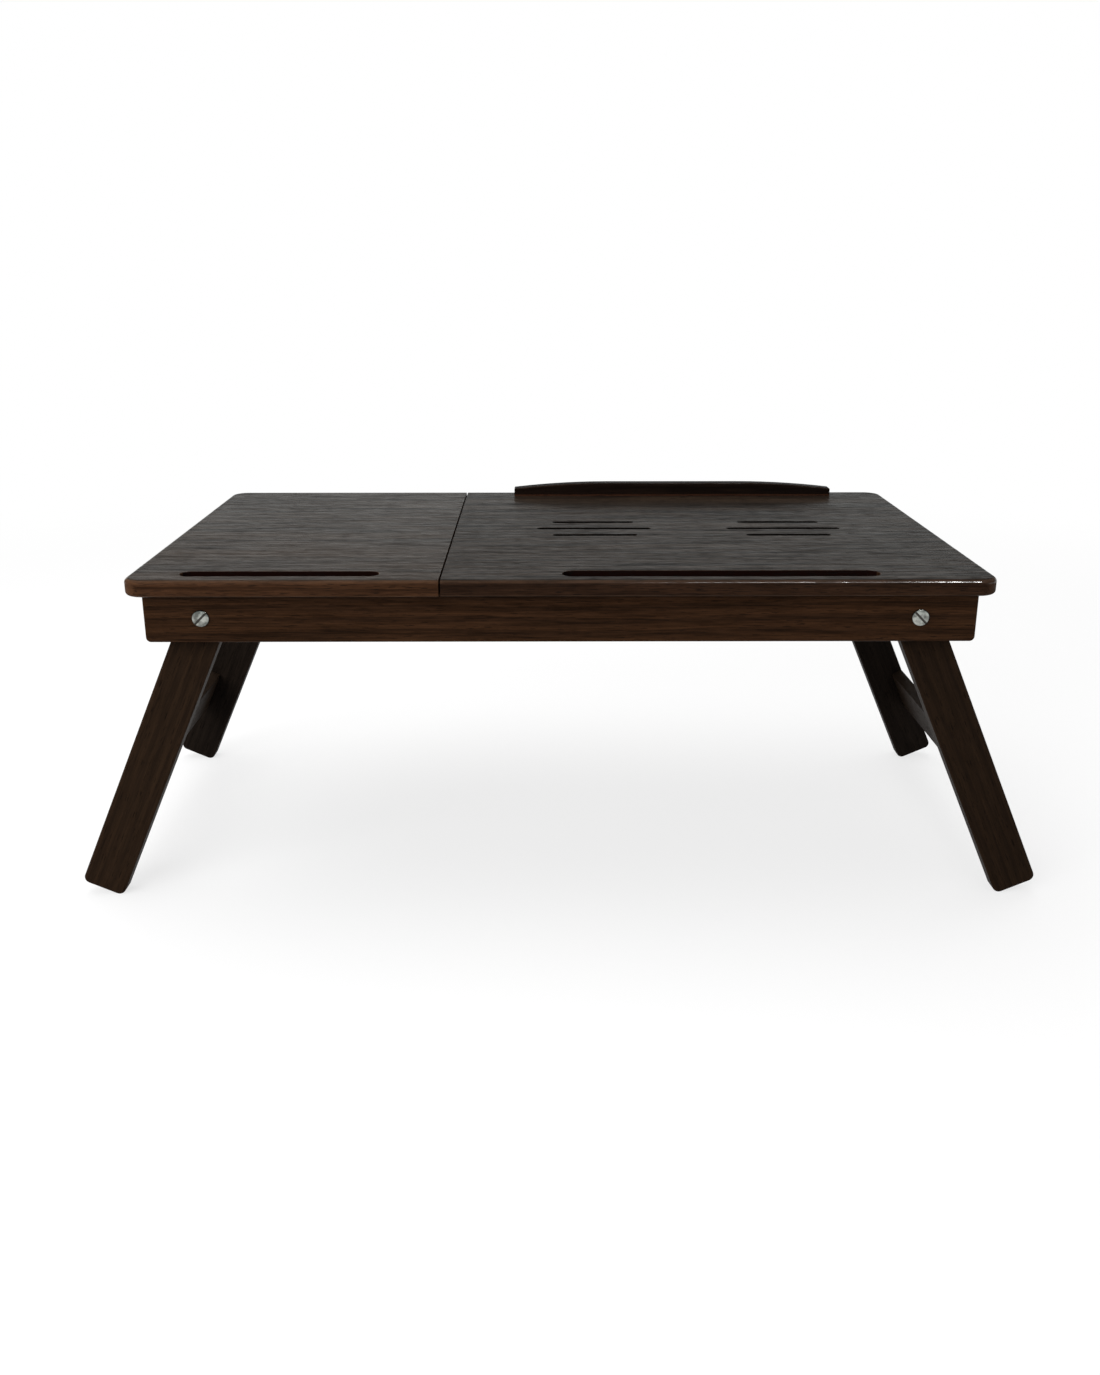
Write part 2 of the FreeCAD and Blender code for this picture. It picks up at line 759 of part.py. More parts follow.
def saddle(middle):
    """A strap bent over the axle, with a screwed ear on each side."""
    half = saddle_width / 2
    inner = wire_radius + turning_gap
    outer = inner + saddle_thickness
    left = middle - Vector(half, 0, 0)
    right = middle + Vector(half, 0, 0)
    arch = rod(outer, left, right)
    cheeks = box(Vector(left.x, middle.y - outer, middle.z), Vector(right.x, middle.y + outer, tilt_under))
    ear_reach = outer + saddle_ear
    ear_low = Vector(left.x, middle.y - ear_reach, tilt_under - saddle_thickness)
    ears = box(ear_low, Vector(right.x, middle.y + ear_reach, tilt_under))
    shape = joined([arch, cheeks, ears])
    room = Vector(overrun, 0, 0)
    shape = shape.cut(rod(inner, left - room, right + room))
    open_low = Vector(left.x - overrun, middle.y - inner, middle.z)
    shape = shape.cut(box(open_low, Vector(right.x + overrun, middle.y + inner, tilt_under + overrun)))
    for seat in saddle_screw_seats():
        shape = shape.cut(screw_hole(seat, Vector(0, 0, 1), screw_length))
    return shape


def screws(seats, direction, length):
    """A group of equal screws."""
    return Part.makeCompound([screw(seat, direction, length) for seat in seats])


def build():
    """All pieces by name."""
    up, down = Vector(0, 0, 1), Vector(0, 0, -1)
    ends = (-1, 1)
    pieces = {
        "front_rail": long_rail(-1),
        "rear_rail": rear_rail(),
        "left_end_rail": end_rail(-1),
        "right_end_rail": end_rail(1),
        "centre_rail": centre_rail(),
        "seam_batten": seam_batten(),
        "fixed_panel": fixed_panel(),
        "tilting_panel": tilting_panel(),
        "stop_strip": stop_strip(),
        "corner_dowels": Part.makeCompound(
            [end_dowel(side, end, step, 0) for side in ends for end in ends for step in ends]
        ),
        "centre_rail_dowels": Part.makeCompound(
            [centre_dowel(end, step, 0) for end in ends for step in ends]
        ),
        "fixed_panel_dowels": Part.makeCompound(
            [panel_dowel(place, 0) for place in rail_dowel_places()]
        ),
        "pivot_bolts": Part.makeCompound([pivot_bolt(*axis) for axis in bolt_axes()]),
        "pivot_washers": pivot_washers(),
        "pivot_nuts": Part.makeCompound([pivot_nut(face, end) for _, end, face in bolt_axes()]),
        "rail_hinge_leaves": rail_hinge_leaves(),
        "panel_hinge_leaves": panel_hinge_leaves(),
        "hinge_pins": hinge_pins(),
        "rail_leaf_screws": screws(rail_leaf_seats(), down, screw_length),
        "panel_leaf_screws": screws(panel_leaf_seats(), up, screw_length),
        "stop_strip_screws": screws(stop_screw_seats(), up, stop_screw_length()),
        "prop_bail": prop_bail(),
        "bail_saddles": Part.makeCompound([saddle(middle) for middle in saddle_middles()]),
        "bail_saddle_screws": screws(saddle_screw_seats(), up, screw_length),
    }
    for side, name in ((-1, "left"), (1, "right")):
        pieces[name + "_front_leg"] = leg(side, -1)
        pieces[name + "_rear_leg"] = leg(side, 1)
        pieces[name + "_stretcher"] = stretcher(side)
    return pieces


def main():
    """Writes one STEP file per piece and prints what the record needs."""
    os.makedirs("parts", exist_ok=True)
    for name, shape in build().items():
        if not shape.isValid() or any(solid.Volume <= 0 for solid in shape.Solids):
            raise ValueError(name + " is not a sound solid")
        shape.exportStep("parts/" + name + ".step")
        print(name, len(shape.Solids), "solids", round(shape.Volume / 1000, 2), "cm3")
    print("pivots at x", pivot_from_middle, "z", pivot_z, "fold", 90 + leg_splay)
    print("hinge axis y", hinge_y, "z", hinge_z)
    print("bail axle y", axle_y, "z", axle_z, "length", bail_length)
    print("leg reach", leg_reach, "frame half length", end_outer_x)
    print("foot path y", [round(foot_place(tilt), 2) for tilt in (0,) + notch_tilts])


main()
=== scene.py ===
import enum
import json
import logging
import math
from dataclasses import dataclass, replace
from typing import ClassVar, Sequence

import bmesh
import bpy
import numpy as np
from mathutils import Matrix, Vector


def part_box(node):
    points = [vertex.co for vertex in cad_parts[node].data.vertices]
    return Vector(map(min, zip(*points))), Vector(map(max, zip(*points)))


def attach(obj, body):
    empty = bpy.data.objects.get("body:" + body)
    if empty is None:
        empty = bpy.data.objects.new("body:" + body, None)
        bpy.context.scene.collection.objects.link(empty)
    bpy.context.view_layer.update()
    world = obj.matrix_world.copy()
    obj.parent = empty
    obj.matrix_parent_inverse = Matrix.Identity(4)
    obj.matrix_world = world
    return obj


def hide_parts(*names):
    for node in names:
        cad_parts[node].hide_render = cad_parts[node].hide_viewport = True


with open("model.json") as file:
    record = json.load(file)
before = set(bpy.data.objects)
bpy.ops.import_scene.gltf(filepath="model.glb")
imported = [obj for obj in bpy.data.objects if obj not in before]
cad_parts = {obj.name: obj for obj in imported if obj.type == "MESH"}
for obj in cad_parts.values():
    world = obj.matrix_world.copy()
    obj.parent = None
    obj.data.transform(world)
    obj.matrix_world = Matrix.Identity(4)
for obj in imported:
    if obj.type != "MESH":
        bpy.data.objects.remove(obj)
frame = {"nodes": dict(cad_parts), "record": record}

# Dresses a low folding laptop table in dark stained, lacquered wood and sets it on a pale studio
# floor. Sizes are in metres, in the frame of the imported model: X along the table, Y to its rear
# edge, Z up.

LOG = logging.getLogger("laptop_table")
MERGE_DISTANCE = 1e-7
SHARP_ANGLE = math.radians(38.0)
Colour = tuple[float, float, float]
Point = tuple[float, float, float]
Span = tuple[float, float]
Names = tuple[str, ...]
Array = np.ndarray
Arrays = tuple[Array, Array]
Material = bpy.types.Material
Outputs = bpy.types.bpy_prop_collection
Socket = bpy.types.NodeSocket
Tree = bpy.types.NodeTree
ORIGIN: Point = (0.0, 0.0, 0.0)
UNIT: Span = (0.0, 1.0)
WHITE: Colour = (1.0, 1.0, 1.0)


class Grain(enum.Enum):
    """The way that a board's grain runs, as the turn that brings it onto the pattern's X axis."""

    ALONG_TABLE = (0.0, 0.0, 0.0)
    ACROSS_TABLE = (0.0, 0.0, 90.0)
    LEFT_LEG = (0.0, 66.0, 0.0)
    RIGHT_LEG = (0.0, 114.0, 0.0)

    @property
    def turn(self) -> Point:
        """The turn in radians."""
        return tuple(math.radians(angle) for angle in self.value)


class Marks(enum.Enum):
    """The marks that a tool leaves in a metal face, by the output of ToolMarks."""

    TURNED = "Turned"
    DRAWN = "Drawn"


class Weave(enum.Enum):
    """How a square grid is laid over a round face."""

    CHORDS = "chords"
    ROUNDED_SQUARE = "rounded_square"


@dataclass(frozen=True)
class Cells:
    """Noise whose cells are stretched.

    The stretch is the number of cells in a metre along each axis, detail the octaves, roughness
    the weight of the fine ones, and distortion how far the noise is warped.
    """

    stretch: Point
    detail: float = 2.0
    roughness: float = 0.5
    distortion: float = 0.0


class Graph:
    """A small helper that adds nodes to a node tree and wires them by name."""

    def __init__(self, tree: Tree) -> None:
        """Starts with an empty tree."""
        self.tree = tree
        tree.nodes.clear()

    def add(self, kind: str, inputs: dict | None = None, **settings: object) -> bpy.types.Node:
        """Adds a node.

        Args:
            kind: The node's type without its common ending, such as "TexNoise".
            inputs: Values or output sockets by input name or number.
            **settings: Properties of the node itself.

        Returns:
            The new node.
        """
        node = self.tree.nodes.new("ShaderNode" + kind)
        for name, value in settings.items():
            setattr(node, name, value)
        for name, value in (inputs or {}).items():
            self.feed(node.inputs[name], value)
        return node

    def feed(self, socket: Socket, value: object) -> None:
        """Sets an input to a value, or wires an output socket to it.

        Args:
            socket: The input.
            value: A plain value or an output socket.
        """
        if isinstance(value, Socket):
            self.tree.links.new(value, socket)
        else:
            socket.default_value = value

    def math(self, operation: str, *values: object, clamp: bool = False) -> Socket:
        """Adds a Math node and returns its result."""
        node = self.add("Math", dict(enumerate(values)), operation=operation, use_clamp=clamp)
        return node.outputs[0]

    def total(self, *terms: tuple[object, float]) -> Socket:
        """Adds up values.

        Args:
            *terms: Pairs of a value and its weight.

        Returns:
            The sum of each value times its weight.
        """
        result = self.math("MULTIPLY", *terms[0])
        for value, weight in terms[1:]:
            result = self.math("MULTIPLY_ADD", value, weight, result)
        return result

    def vector(self, operation: str, *values: object) -> Socket:
        """Adds a Vector Math node and returns its vector, or the value of a length."""
        node = self.add("VectorMath", dict(enumerate(values)), operation=operation)
        return node.outputs["Value" if operation == "LENGTH" else "Vector"]

    def split(self, vector: object) -> Outputs:
        """The three parts of a vector."""
        return self.add("SeparateXYZ", {"Vector": vector}).outputs

    def effect(self, kind: type["Effect"], inputs: dict) -> Outputs:
        """Adds a shared effect with its inputs set, and returns its outputs."""
        return self.add("Group", inputs, node_tree=bpy.data.node_groups[kind.__name__]).outputs

    def remap(self, value: object, span: Span = UNIT, levels: tuple[object, object] = UNIT,
              smooth: bool = False) -> Socket:
        """Maps a value from one range to another and clamps it.

        Args:
            value: The value to map.
            span: Where its range starts and ends.
            levels: The results there.
            smooth: Whether the ends are eased.

        Returns:
            The mapped value.
        """
        kind = "SMOOTHSTEP" if smooth else "LINEAR"
        inputs = {"Value": value, "From Min": span[0], "From Max": span[1],
                  "To Min": levels[0], "To Max": levels[1]}
        return self.add("MapRange", inputs, interpolation_type=kind).outputs["Result"]

    def noise(self, vector: object, cells: Cells) -> Socket:
        """Adds noise from 0 to 1, which is read at a vector."""
        inputs = {
            "Vector": self.vector("MULTIPLY", vector, cells.stretch), "Scale": 1.0,
            "Detail": cells.detail, "Roughness": cells.roughness, "Distortion": cells.distortion}
        return self.add("TexNoise", inputs).outputs[0]

    def mix(self, factor: object, first: object, second: object) -> Socket:
        """Mixes two colours.

        Args:
            factor: Share of the second.
            first: A colour or a socket.
            second: A colour or a socket.

        Returns:
            The mixed colour.
        """
        node = self.add("Mix", data_type="RGBA", clamp_factor=True)
        self.feed(node.inputs[0], factor)
        for socket, value in ((node.inputs[6], first), (node.inputs[7], second)):
            self.feed(socket, rgba(value) if isinstance(value, tuple) else value)
        return node.outputs[2]


def rgba(colour: Colour) -> tuple[float, float, float, float]:
    """A colour with full alpha."""
    return (*colour, 1.0)


class Effect:
    """A shader node group that several materials share, named after its class.

    Its inputs are given by name with their defaults: a float, or a tuple for a vector.
    """

    inputs: ClassVar[dict[str, object]]

    def wire(self, graph: Graph, given: dict) -> dict[str, object]:
        """Adds the nodes of the group.

        Args:
            graph: The inside of the group.
            given: Its input sockets by name.

        Returns:
            What it puts out, by name.
        """
        raise NotImplementedError

    def build(self) -> None:
        """Builds the group."""
        tree = bpy.data.node_groups.new(type(self).__name__, "ShaderNodeTree")
        graph = Graph(tree)
        for name, default in self.inputs.items():
            kind = "NodeSocketVector" if isinstance(default, tuple) else "NodeSocketFloat"
            socket = tree.interface.new_socket(name=name, in_out="INPUT", socket_type=kind)
            socket.default_value = default
        entry = tree.nodes.new("NodeGroupInput")
        results = self.wire(graph, {socket.name: socket for socket in entry.outputs})
        for name in results:
            tree.interface.new_socket(name=name, in_out="OUTPUT", socket_type="NodeSocketFloat")
        leave = tree.nodes.new("NodeGroupOutput")
        for name, value in results.items():
            graph.feed(leave.inputs[name], value)


@dataclass(frozen=True)
class BoardFigure(Effect):
    """The figure of a board, with the grain along X.

    The growth rings are shells round a pith line that runs below the board: the phase is the
    distance from that line over the ring width, warped by slow noise. Streaks, flecks and dashes
    are noise cells drawn out along the grain, and pores are fine cells cut off at a limit.

    Tone is the colour from dark (0) to light (1), Sheen how the lacquer lies (0 to 1), Pores
    marks open pores, and Height is the relief for a bump.
    """

    inputs = {"Vector": ORIGIN, "Shift": ORIGIN, "Ring Width": 0.007, "Pore Share": 0.5}
    wander: Cells = Cells((1.6, 7.0, 7.0))
    wander_width: float = 0.05
    pith_depth: float = 0.11
    bend: Cells = Cells((5.0, 40.0, 40.0), 3.0)
    bend_share: float = 1.6
    late_wood: float = 0.78
    layers: tuple[Cells, ...] = (
        Cells((2.2, 12.0, 14.0), 3.0), Cells((7.0, 42.0, 60.0), distortion=0.4),
        Cells((14.0, 170.0, 320.0), 3.0, 0.6), Cells((62.0, 360.0, 850.0), 2.0, 0.6, 0.2),
        Cells((17.0, 330.0, 900.0), 2.0, 0.6, 0.15), Cells((34.0, 1100.0, 1300.0), 2.0, 0.6),
        Cells((95.0, 1400.0, 1600.0), 1.0, 0.4))
    tone_weights: tuple[float, ...] = (0.16, 0.1, 0.1, 0.28, 0.22, 0.22, 0.2)
    tone_span: Span = (0.53, 0.77)
    sheen_weights: tuple[float, ...] = (0.38, 0.42, 0.2)
    sheen_span: Span = (0.41, 0.59)
    height_weights: tuple[float, ...] = (0.35, 0.4)
    pore_limit: float = 0.72
    pore_spread: float = 0.16
    ring_spread: float = 0.05
    pore_edge: float = 0.05

    def wire(self, graph: Graph, given: dict) -> dict[str, object]:
        """Adds the nodes of the figure, as Effect.wire says."""
        place = graph.vector("ADD", given["Vector"], given["Shift"])
        split = graph.split(place)
        slow = graph.noise(place, self.wander)
        across = graph.math("MULTIPLY_ADD", slow, self.wander_width, split[1])
        depth = graph.math("ADD", split[2], self.pith_depth)
        square = graph.math("MULTIPLY", depth, depth)
        shell = graph.math("SQRT", graph.math("MULTIPLY_ADD", across, across, square))
        bend = graph.math("MULTIPLY", graph.noise(place, self.bend), self.bend_share)
        phase = graph.math("ADD", graph.math("DIVIDE", shell, given["Ring Width"]), bend)
        ring = graph.math("FRACT", phase)
        falling = graph.remap(ring, (0.0, self.late_wood), (1.0, 0.0), smooth=True)
        rising = graph.remap(ring, (self.late_wood, 1.0), smooth=True)
        rings = graph.math("ADD", falling, rising, clamp=True)
        broad, patch, streak, fleck, dash, fibre, vessel = (
            graph.noise(place, cells) for cells in self.layers)
        tones = (broad, patch, rings, streak, fleck, dash, fibre)
        tone = graph.total(*zip(tones, self.tone_weights))
        sheen = graph.total(*zip((fleck, dash, streak), self.sheen_weights))
        limit = graph.math("MULTIPLY_ADD", given["Pore Share"], -self.pore_spread, self.pore_limit)
        limit = graph.math("MULTIPLY_ADD", rings, -self.ring_spread, limit)
        pores = graph.remap(graph.math("SUBTRACT", vessel, limit), (0.0, self.pore_edge))
        relief = graph.total(*zip((fibre, fleck), self.height_weights))
        return {"Tone": graph.remap(tone, self.tone_span),
                "Sheen": graph.remap(sheen, self.sheen_span),
                "Pores": pores, "Height": graph.math("SUBTRACT", relief, pores)}


@dataclass(frozen=True)
class RubbedEdges(Effect):
    """Scuffed edges on roundings, read from a normal in the board's own frame.

    Where the normal's largest part falls short of 1, the surface lies on a rounding, and noise
    breaks the scuffing up. Edge is 1 on any rounding, and Scuffed And Lit is 1 where an edge
    takes a lighter colour, which is partly real scuffing and partly a painted highlight.
    """

    inputs = {"Normal": (0.0, 0.0, 1.0), "Vector": ORIGIN, "Patchiness": 0.6}
    edge_span: Span = (0.985, 0.86)
    patch: Cells = Cells((45.0, 45.0, 45.0), 4.0, 0.65)
    patch_span: Span = (0.36, 0.62)

    def wire(self, graph: Graph, given: dict) -> dict[str, object]:
        """Adds the nodes of the wear, as Effect.wire says."""
        split = graph.split(graph.vector("ABSOLUTE", given["Normal"]))
        largest = graph.math("MAXIMUM", graph.math("MAXIMUM", split[0], split[1]), split[2])
        edge = graph.remap(largest, self.edge_span, smooth=True)
        bare = graph.remap(graph.noise(given["Vector"], self.patch), self.patch_span)
        kept = graph.math("MULTIPLY", graph.math("SUBTRACT", 1.0, bare), given["Patchiness"])
        worn = graph.math("MULTIPLY", edge, graph.math("SUBTRACT", 1.0, kept), clamp=True)
        return {"Edge": edge, "Worn": worn}


@dataclass(frozen=True)
class HandlingMarks(Effect):
    """Soft smudges from hands, which change the gloss. Smudge runs from 0 to 1."""

    inputs = {"Vector": ORIGIN, "Amount": 0.5}
    cloud: Cells = Cells((9.0, 9.0, 9.0), 4.0, 0.6, 0.8)
    cloud_span: Span = (0.4, 0.72)

    def wire(self, graph: Graph, given: dict) -> dict[str, object]:
        """Adds the nodes of the smudges, as Effect.wire says."""
        cloud = graph.noise(given["Vector"], self.cloud)
        smudge = graph.remap(cloud, self.cloud_span, smooth=True)
        return {"Smudge": graph.math("MULTIPLY", smudge, given["Amount"])}


@dataclass(frozen=True)
class ToolMarks(Effect):
    """Fine marks in metal.

    Turned marks are noise that runs in circles about the Y axis at Centre, and Drawn marks are
    noise drawn out along X.
    """

    inputs = {"Vector": ORIGIN, "Centre": ORIGIN}
    beyond_axis: Point = (1.0, 0.0, 1.0)
    turned: Cells = Cells((4200.0, 1.0, 1.0), 3.0, 0.7)
    drawn: Cells = Cells((90.0, 3200.0, 3200.0), 3.0, 0.6)

    def wire(self, graph: Graph, given: dict) -> dict[str, object]:
        """Adds the nodes of the marks, as Effect.wire says."""
        local = graph.vector("SUBTRACT", given["Vector"], given["Centre"])
        radius = graph.vector("LENGTH", graph.vector("MULTIPLY", local, self.beyond_axis))
        circle = graph.add("CombineXYZ", {"X": radius}).outputs[0]
        return {"Turned": graph.noise(circle, self.turned),
                "Drawn": graph.noise(given["Vector"], self.drawn)}


@dataclass(frozen=True)
class Patch:
    """A box within which a board's colour is painted over, for painted shade and painted
    highlights.
    """

    low: Point
    high: Point
    colour: Colour
    strength: float = 1.0

    def share(self, graph: Graph, place: object) -> Socket:
        """Tells how far the colour covers a place.

        Args:
            graph: The graph of the material.
            place: The place.

        Returns:
            The strength inside the box, else 0.
        """
        split = graph.split(place)
        result = self.strength
        for operation, corner in (("GREATER_THAN", self.low), ("LESS_THAN", self.high)):
            for part, limit in zip(split, corner):
                result = graph.math("MULTIPLY", result, graph.math(operation, part, limit))
        return result


@dataclass(frozen=True)
class StainedWood:
    """Stained hardwood under a thin lacquer.

    The face is the part of a board that looks up or down, and the flank every other side, which
    has the colours of the face unless it is given its own. The lacquer is the share of the coat
    over each of them and over the rounded edges.
    """

    dark: Colour
    light: Colour
    # Colour of scuffed roundings: partly wear, partly a painted highlight along the arrises.
    worn: Colour
    pore: Colour
    lacquer: float
    edge_lacquer: float
    flank_dark: Colour | None = None
    flank_light: Colour | None = None
    flank_lacquer: float = 0.03
    roughness: float = 0.5
    specular: float = 0.02
    lacquer_roughness: float = 0.27
    edge_roughness: float = 0.12
    sheen_play: float = 1.2
    smudge_share: float = 0.08
    smudge_roughness: float = 0.1
    ring_width: float = 0.007
    pore_share: float = 0.3
    pore_colour_share: float = 0.7
    pore_roughness: float = 0.2
    pore_gap: float = 0.55
    relief: float = 0.00012
    relief_strength: float = 0.6
    wear: float = 0.5
    face_span: Span = (0.45, 0.92)
    lean_span: Span = (0.02, 0.15)
    broken_span: Span = (0.2, 0.8)
    broken_levels: Span = (0.2, 1.8)

    def stained(self, share: float) -> "StainedWood":
        """The same finish with all its colours darker or lighter, to paint shade or light on one
        piece.

        Args:
            share: What its colours are multiplied by.

        Returns:
            The new finish.
        """
        names = ("dark", "light", "flank_dark", "flank_light", "worn")
        given = {name: getattr(self, name) for name in names}
        shades = {name: tuple(part * share for part in colour)
                  for name, colour in given.items() if colour}
        return replace(self, **shades)

    def material(self, name: str, grain: Grain, shift: Point,
                 patches: Sequence[Patch] = ()) -> Material:
        """Builds the material of one board.

        Args:
            name: The material's name.
            grain: The way that the grain runs.
            shift: Where in the log the board was cut, so that no two boards look alike.
            patches: Boxes of painted shade and painted highlight laid over the wood's colour.

        Returns:
            The material.
        """
        shader = new_material(name)
        graph = Graph(shader.node_tree)
        coords = graph.add("TexCoord").outputs
        place = coords["Object"]
        board, facing = (
            graph.add("Mapping", {"Vector": vector, "Rotation": grain.turn}, vector_type=kind)
            .outputs[0] for vector, kind in ((place, "POINT"), (coords["Normal"], "VECTOR")))
        figure = graph.effect(BoardFigure, {
            "Vector": board, "Shift": shift, "Ring Width": self.ring_width,
            "Pore Share": self.pore_share})
        edge_masks = graph.effect(RubbedEdges, {"Normal": facing, "Vector": place})
        smudge = graph.effect(HandlingMarks, {"Vector": place})["Smudge"]
        upright = graph.split(coords["Normal"])[2]
        face = graph.remap(graph.math("ABSOLUTE", upright), self.face_span, smooth=True)
        on_face = graph.mix(figure["Tone"], self.dark, self.light)
        on_flank = graph.mix(
            figure["Tone"], self.flank_dark or self.dark, self.flank_light or self.light)
        colour = graph.mix(face, on_flank, on_face)
        bare = 1.0
        # Patches paint shade into grooves and vents and a highlight round the bottom of the stop
        # strip; where they lie, the lacquer and the lighter edge colour are taken away.
        for patch in patches:
            share = patch.share(graph, place)
            colour = graph.mix(share, colour, patch.colour)
            bare = graph.math("MULTIPLY", bare, graph.math("SUBTRACT", 1.0, share))
        pores = graph.math("MULTIPLY", figure["Pores"], self.pore_colour_share)
        colour = graph.mix(pores, colour, self.pore)
        # Scuffed roundings take a lighter colour: partly wear, partly a painted highlight along the
        # arrises.
        worn = graph.math("MULTIPLY", graph.math("MULTIPLY", edge_masks["Worn"], self.wear), bare)
        colour = graph.mix(worn, colour, self.worn)
        rough = graph.total(
            (1.0, self.roughness), (smudge, self.smudge_roughness),
            (figure["Pores"], self.pore_roughness))
        bump = graph.add("Bump", {
            "Strength": self.relief_strength, "Distance": self.relief,
            "Height": figure["Height"]}).outputs[0]
        play = graph.math(
            "MULTIPLY_ADD", figure["Sheen"], self.sheen_play, 1.0 - self.sheen_play / 2)
        lacquer = graph.remap(face, UNIT, (self.flank_lacquer, self.lacquer))
        lacquer = graph.math("MULTIPLY", lacquer, play)
        broken = graph.remap(figure["Sheen"], self.broken_span, self.broken_levels)
        leaning = graph.remap(upright, self.lean_span)
        edge = graph.math("MULTIPLY", graph.math("MULTIPLY", edge_masks["Edge"], leaning), broken)
        lacquer = graph.math("MULTIPLY_ADD", edge, self.edge_lacquer, lacquer)
        opened = graph.math("MULTIPLY_ADD", figure["Pores"], -self.pore_gap, 1.0)
        dulled = graph.math("MULTIPLY_ADD", smudge, -self.smudge_share, opened)
        lacquer = graph.math("MULTIPLY", graph.math("MULTIPLY", lacquer, dulled), bare, clamp=True)
        gloss = graph.remap(edge, UNIT, (self.lacquer_roughness, self.edge_roughness))
        finish_with(graph, {
            "Base Color": colour, "Roughness": rough, "Normal": bump,
            "Specular IOR Level": self.specular, "Coat Weight": lacquer, "Coat Roughness": gloss})
        return shader


@dataclass(frozen=True)
class PlatedSteel:
    """Plated steel with tool marks."""

    colour: Colour
    shade: Colour
    roughness: float
    marks: Marks
    relief: float = 0.00003
    relief_strength: float = 0.5
    smudge_roughness: float = 0.2
    mark_roughness: float = 0.1
    # Dark colour for a slot and a head's rim: dirt with painted shade in the slot, a painted
    # contact shadow at the rim.
    grime: Colour = (0.035, 0.033, 0.029)
    patina: Cells = Cells((260.0, 260.0, 260.0), 3.0)
    patina_span: Span = (0.38, 0.64)

    def material(self, name: str, centre: Point,
                 sunk: tuple[float, float, float] | None = None) -> Material:
        """Builds the material.

        Args:
            name: The material's name.
            centre: A point on the axis of turned marks.
            sunk: How far from the middle plane the darkening starts, begins to give way, and ends;
                it is dirt with painted shade in the slot and a painted contact shadow at the rim.

        Returns:
            The material.
        """
        shader = new_material(name)
        graph = Graph(shader.node_tree)
        place = graph.add("TexCoord").outputs["Object"]
        mirrored = graph.vector("ABSOLUTE", place)
        tooling = graph.effect(ToolMarks, {"Vector": mirrored, "Centre": centre})
        smudge = graph.effect(HandlingMarks, {"Vector": place})["Smudge"]
        height = tooling[self.marks.value]
        patina = graph.remap(graph.noise(place, self.patina), self.patina_span)
        colour = graph.mix(patina, self.colour, self.shade)
        # Darkens the head close to the rail: dirt and painted shade on the slot's floor, a painted
        # contact shadow on the rim.
        if sunk:
            out = graph.split(mirrored)[1]
            outer = graph.remap(out, sunk[1:], smooth=True)
            free_of_dirt_and_shade = graph.math("MAXIMUM", outer, graph.math("LESS_THAN", out, sunk[0]))
            colour = graph.mix(free_of_dirt_and_shade, self.grime, colour)
        rough = graph.total(
            (1.0, self.roughness), (smudge, self.smudge_roughness), (height, self.mark_roughness))
        bump = graph.add("Bump", {
            "Strength": self.relief_strength, "Distance": self.relief, "Height": height}).outputs[0]
        finish_with(
            graph, {"Base Color": colour, "Roughness": rough, "Normal": bump, "Metallic": 1.0})
        return shader


def new_material(name: str) -> Material:
    """Makes an empty node material.

    Args:
        name: Its name.

    Returns:
        The material.
    """
    shader = bpy.data.materials.new(name)
    shader.use_nodes = True
    return shader


def finish_with(graph: Graph, inputs: dict) -> None:
    """Ends a material with a Principled BSDF that has the given inputs."""
    surface = graph.add("BsdfPrincipled", inputs)
    graph.add("OutputMaterial", {"Surface": surface.outputs[0]})


def dress(node: str, shader: Material) -> None:
    """Gives a CAD node its material.

    Args:
        node: The node's name.
        shader: The material.
    """
    mesh = frame["nodes"][node].data
    mesh.materials.clear()
    mesh.materials.append(shader)
    LOG.info("dressed %s with %s", node, shader.name)


def solid_points(node: str) -> Array:
    """Reads the vertices of a CAD node.

    Args:
        node: The node's name.

    Returns:
        One row for each vertex.
    """
    mesh = frame["nodes"][node].data
    flat = np.empty(len(mesh.vertices) * 3)
    mesh.vertices.foreach_get("co", flat)
    return flat.reshape(-1, 3)


def stated_box(name: str) -> tuple[Point, Point]:
    """Finds the box of one of the record's openings.

    Args:
        name: The opening's name.

    Returns:
        Its two corners.
    """
    openings = frame["record"]["physics"]["openings"]
    low, high = next(item["box_m"] for item in openings if item["name"] == name)
    return tuple(low), tuple(high)


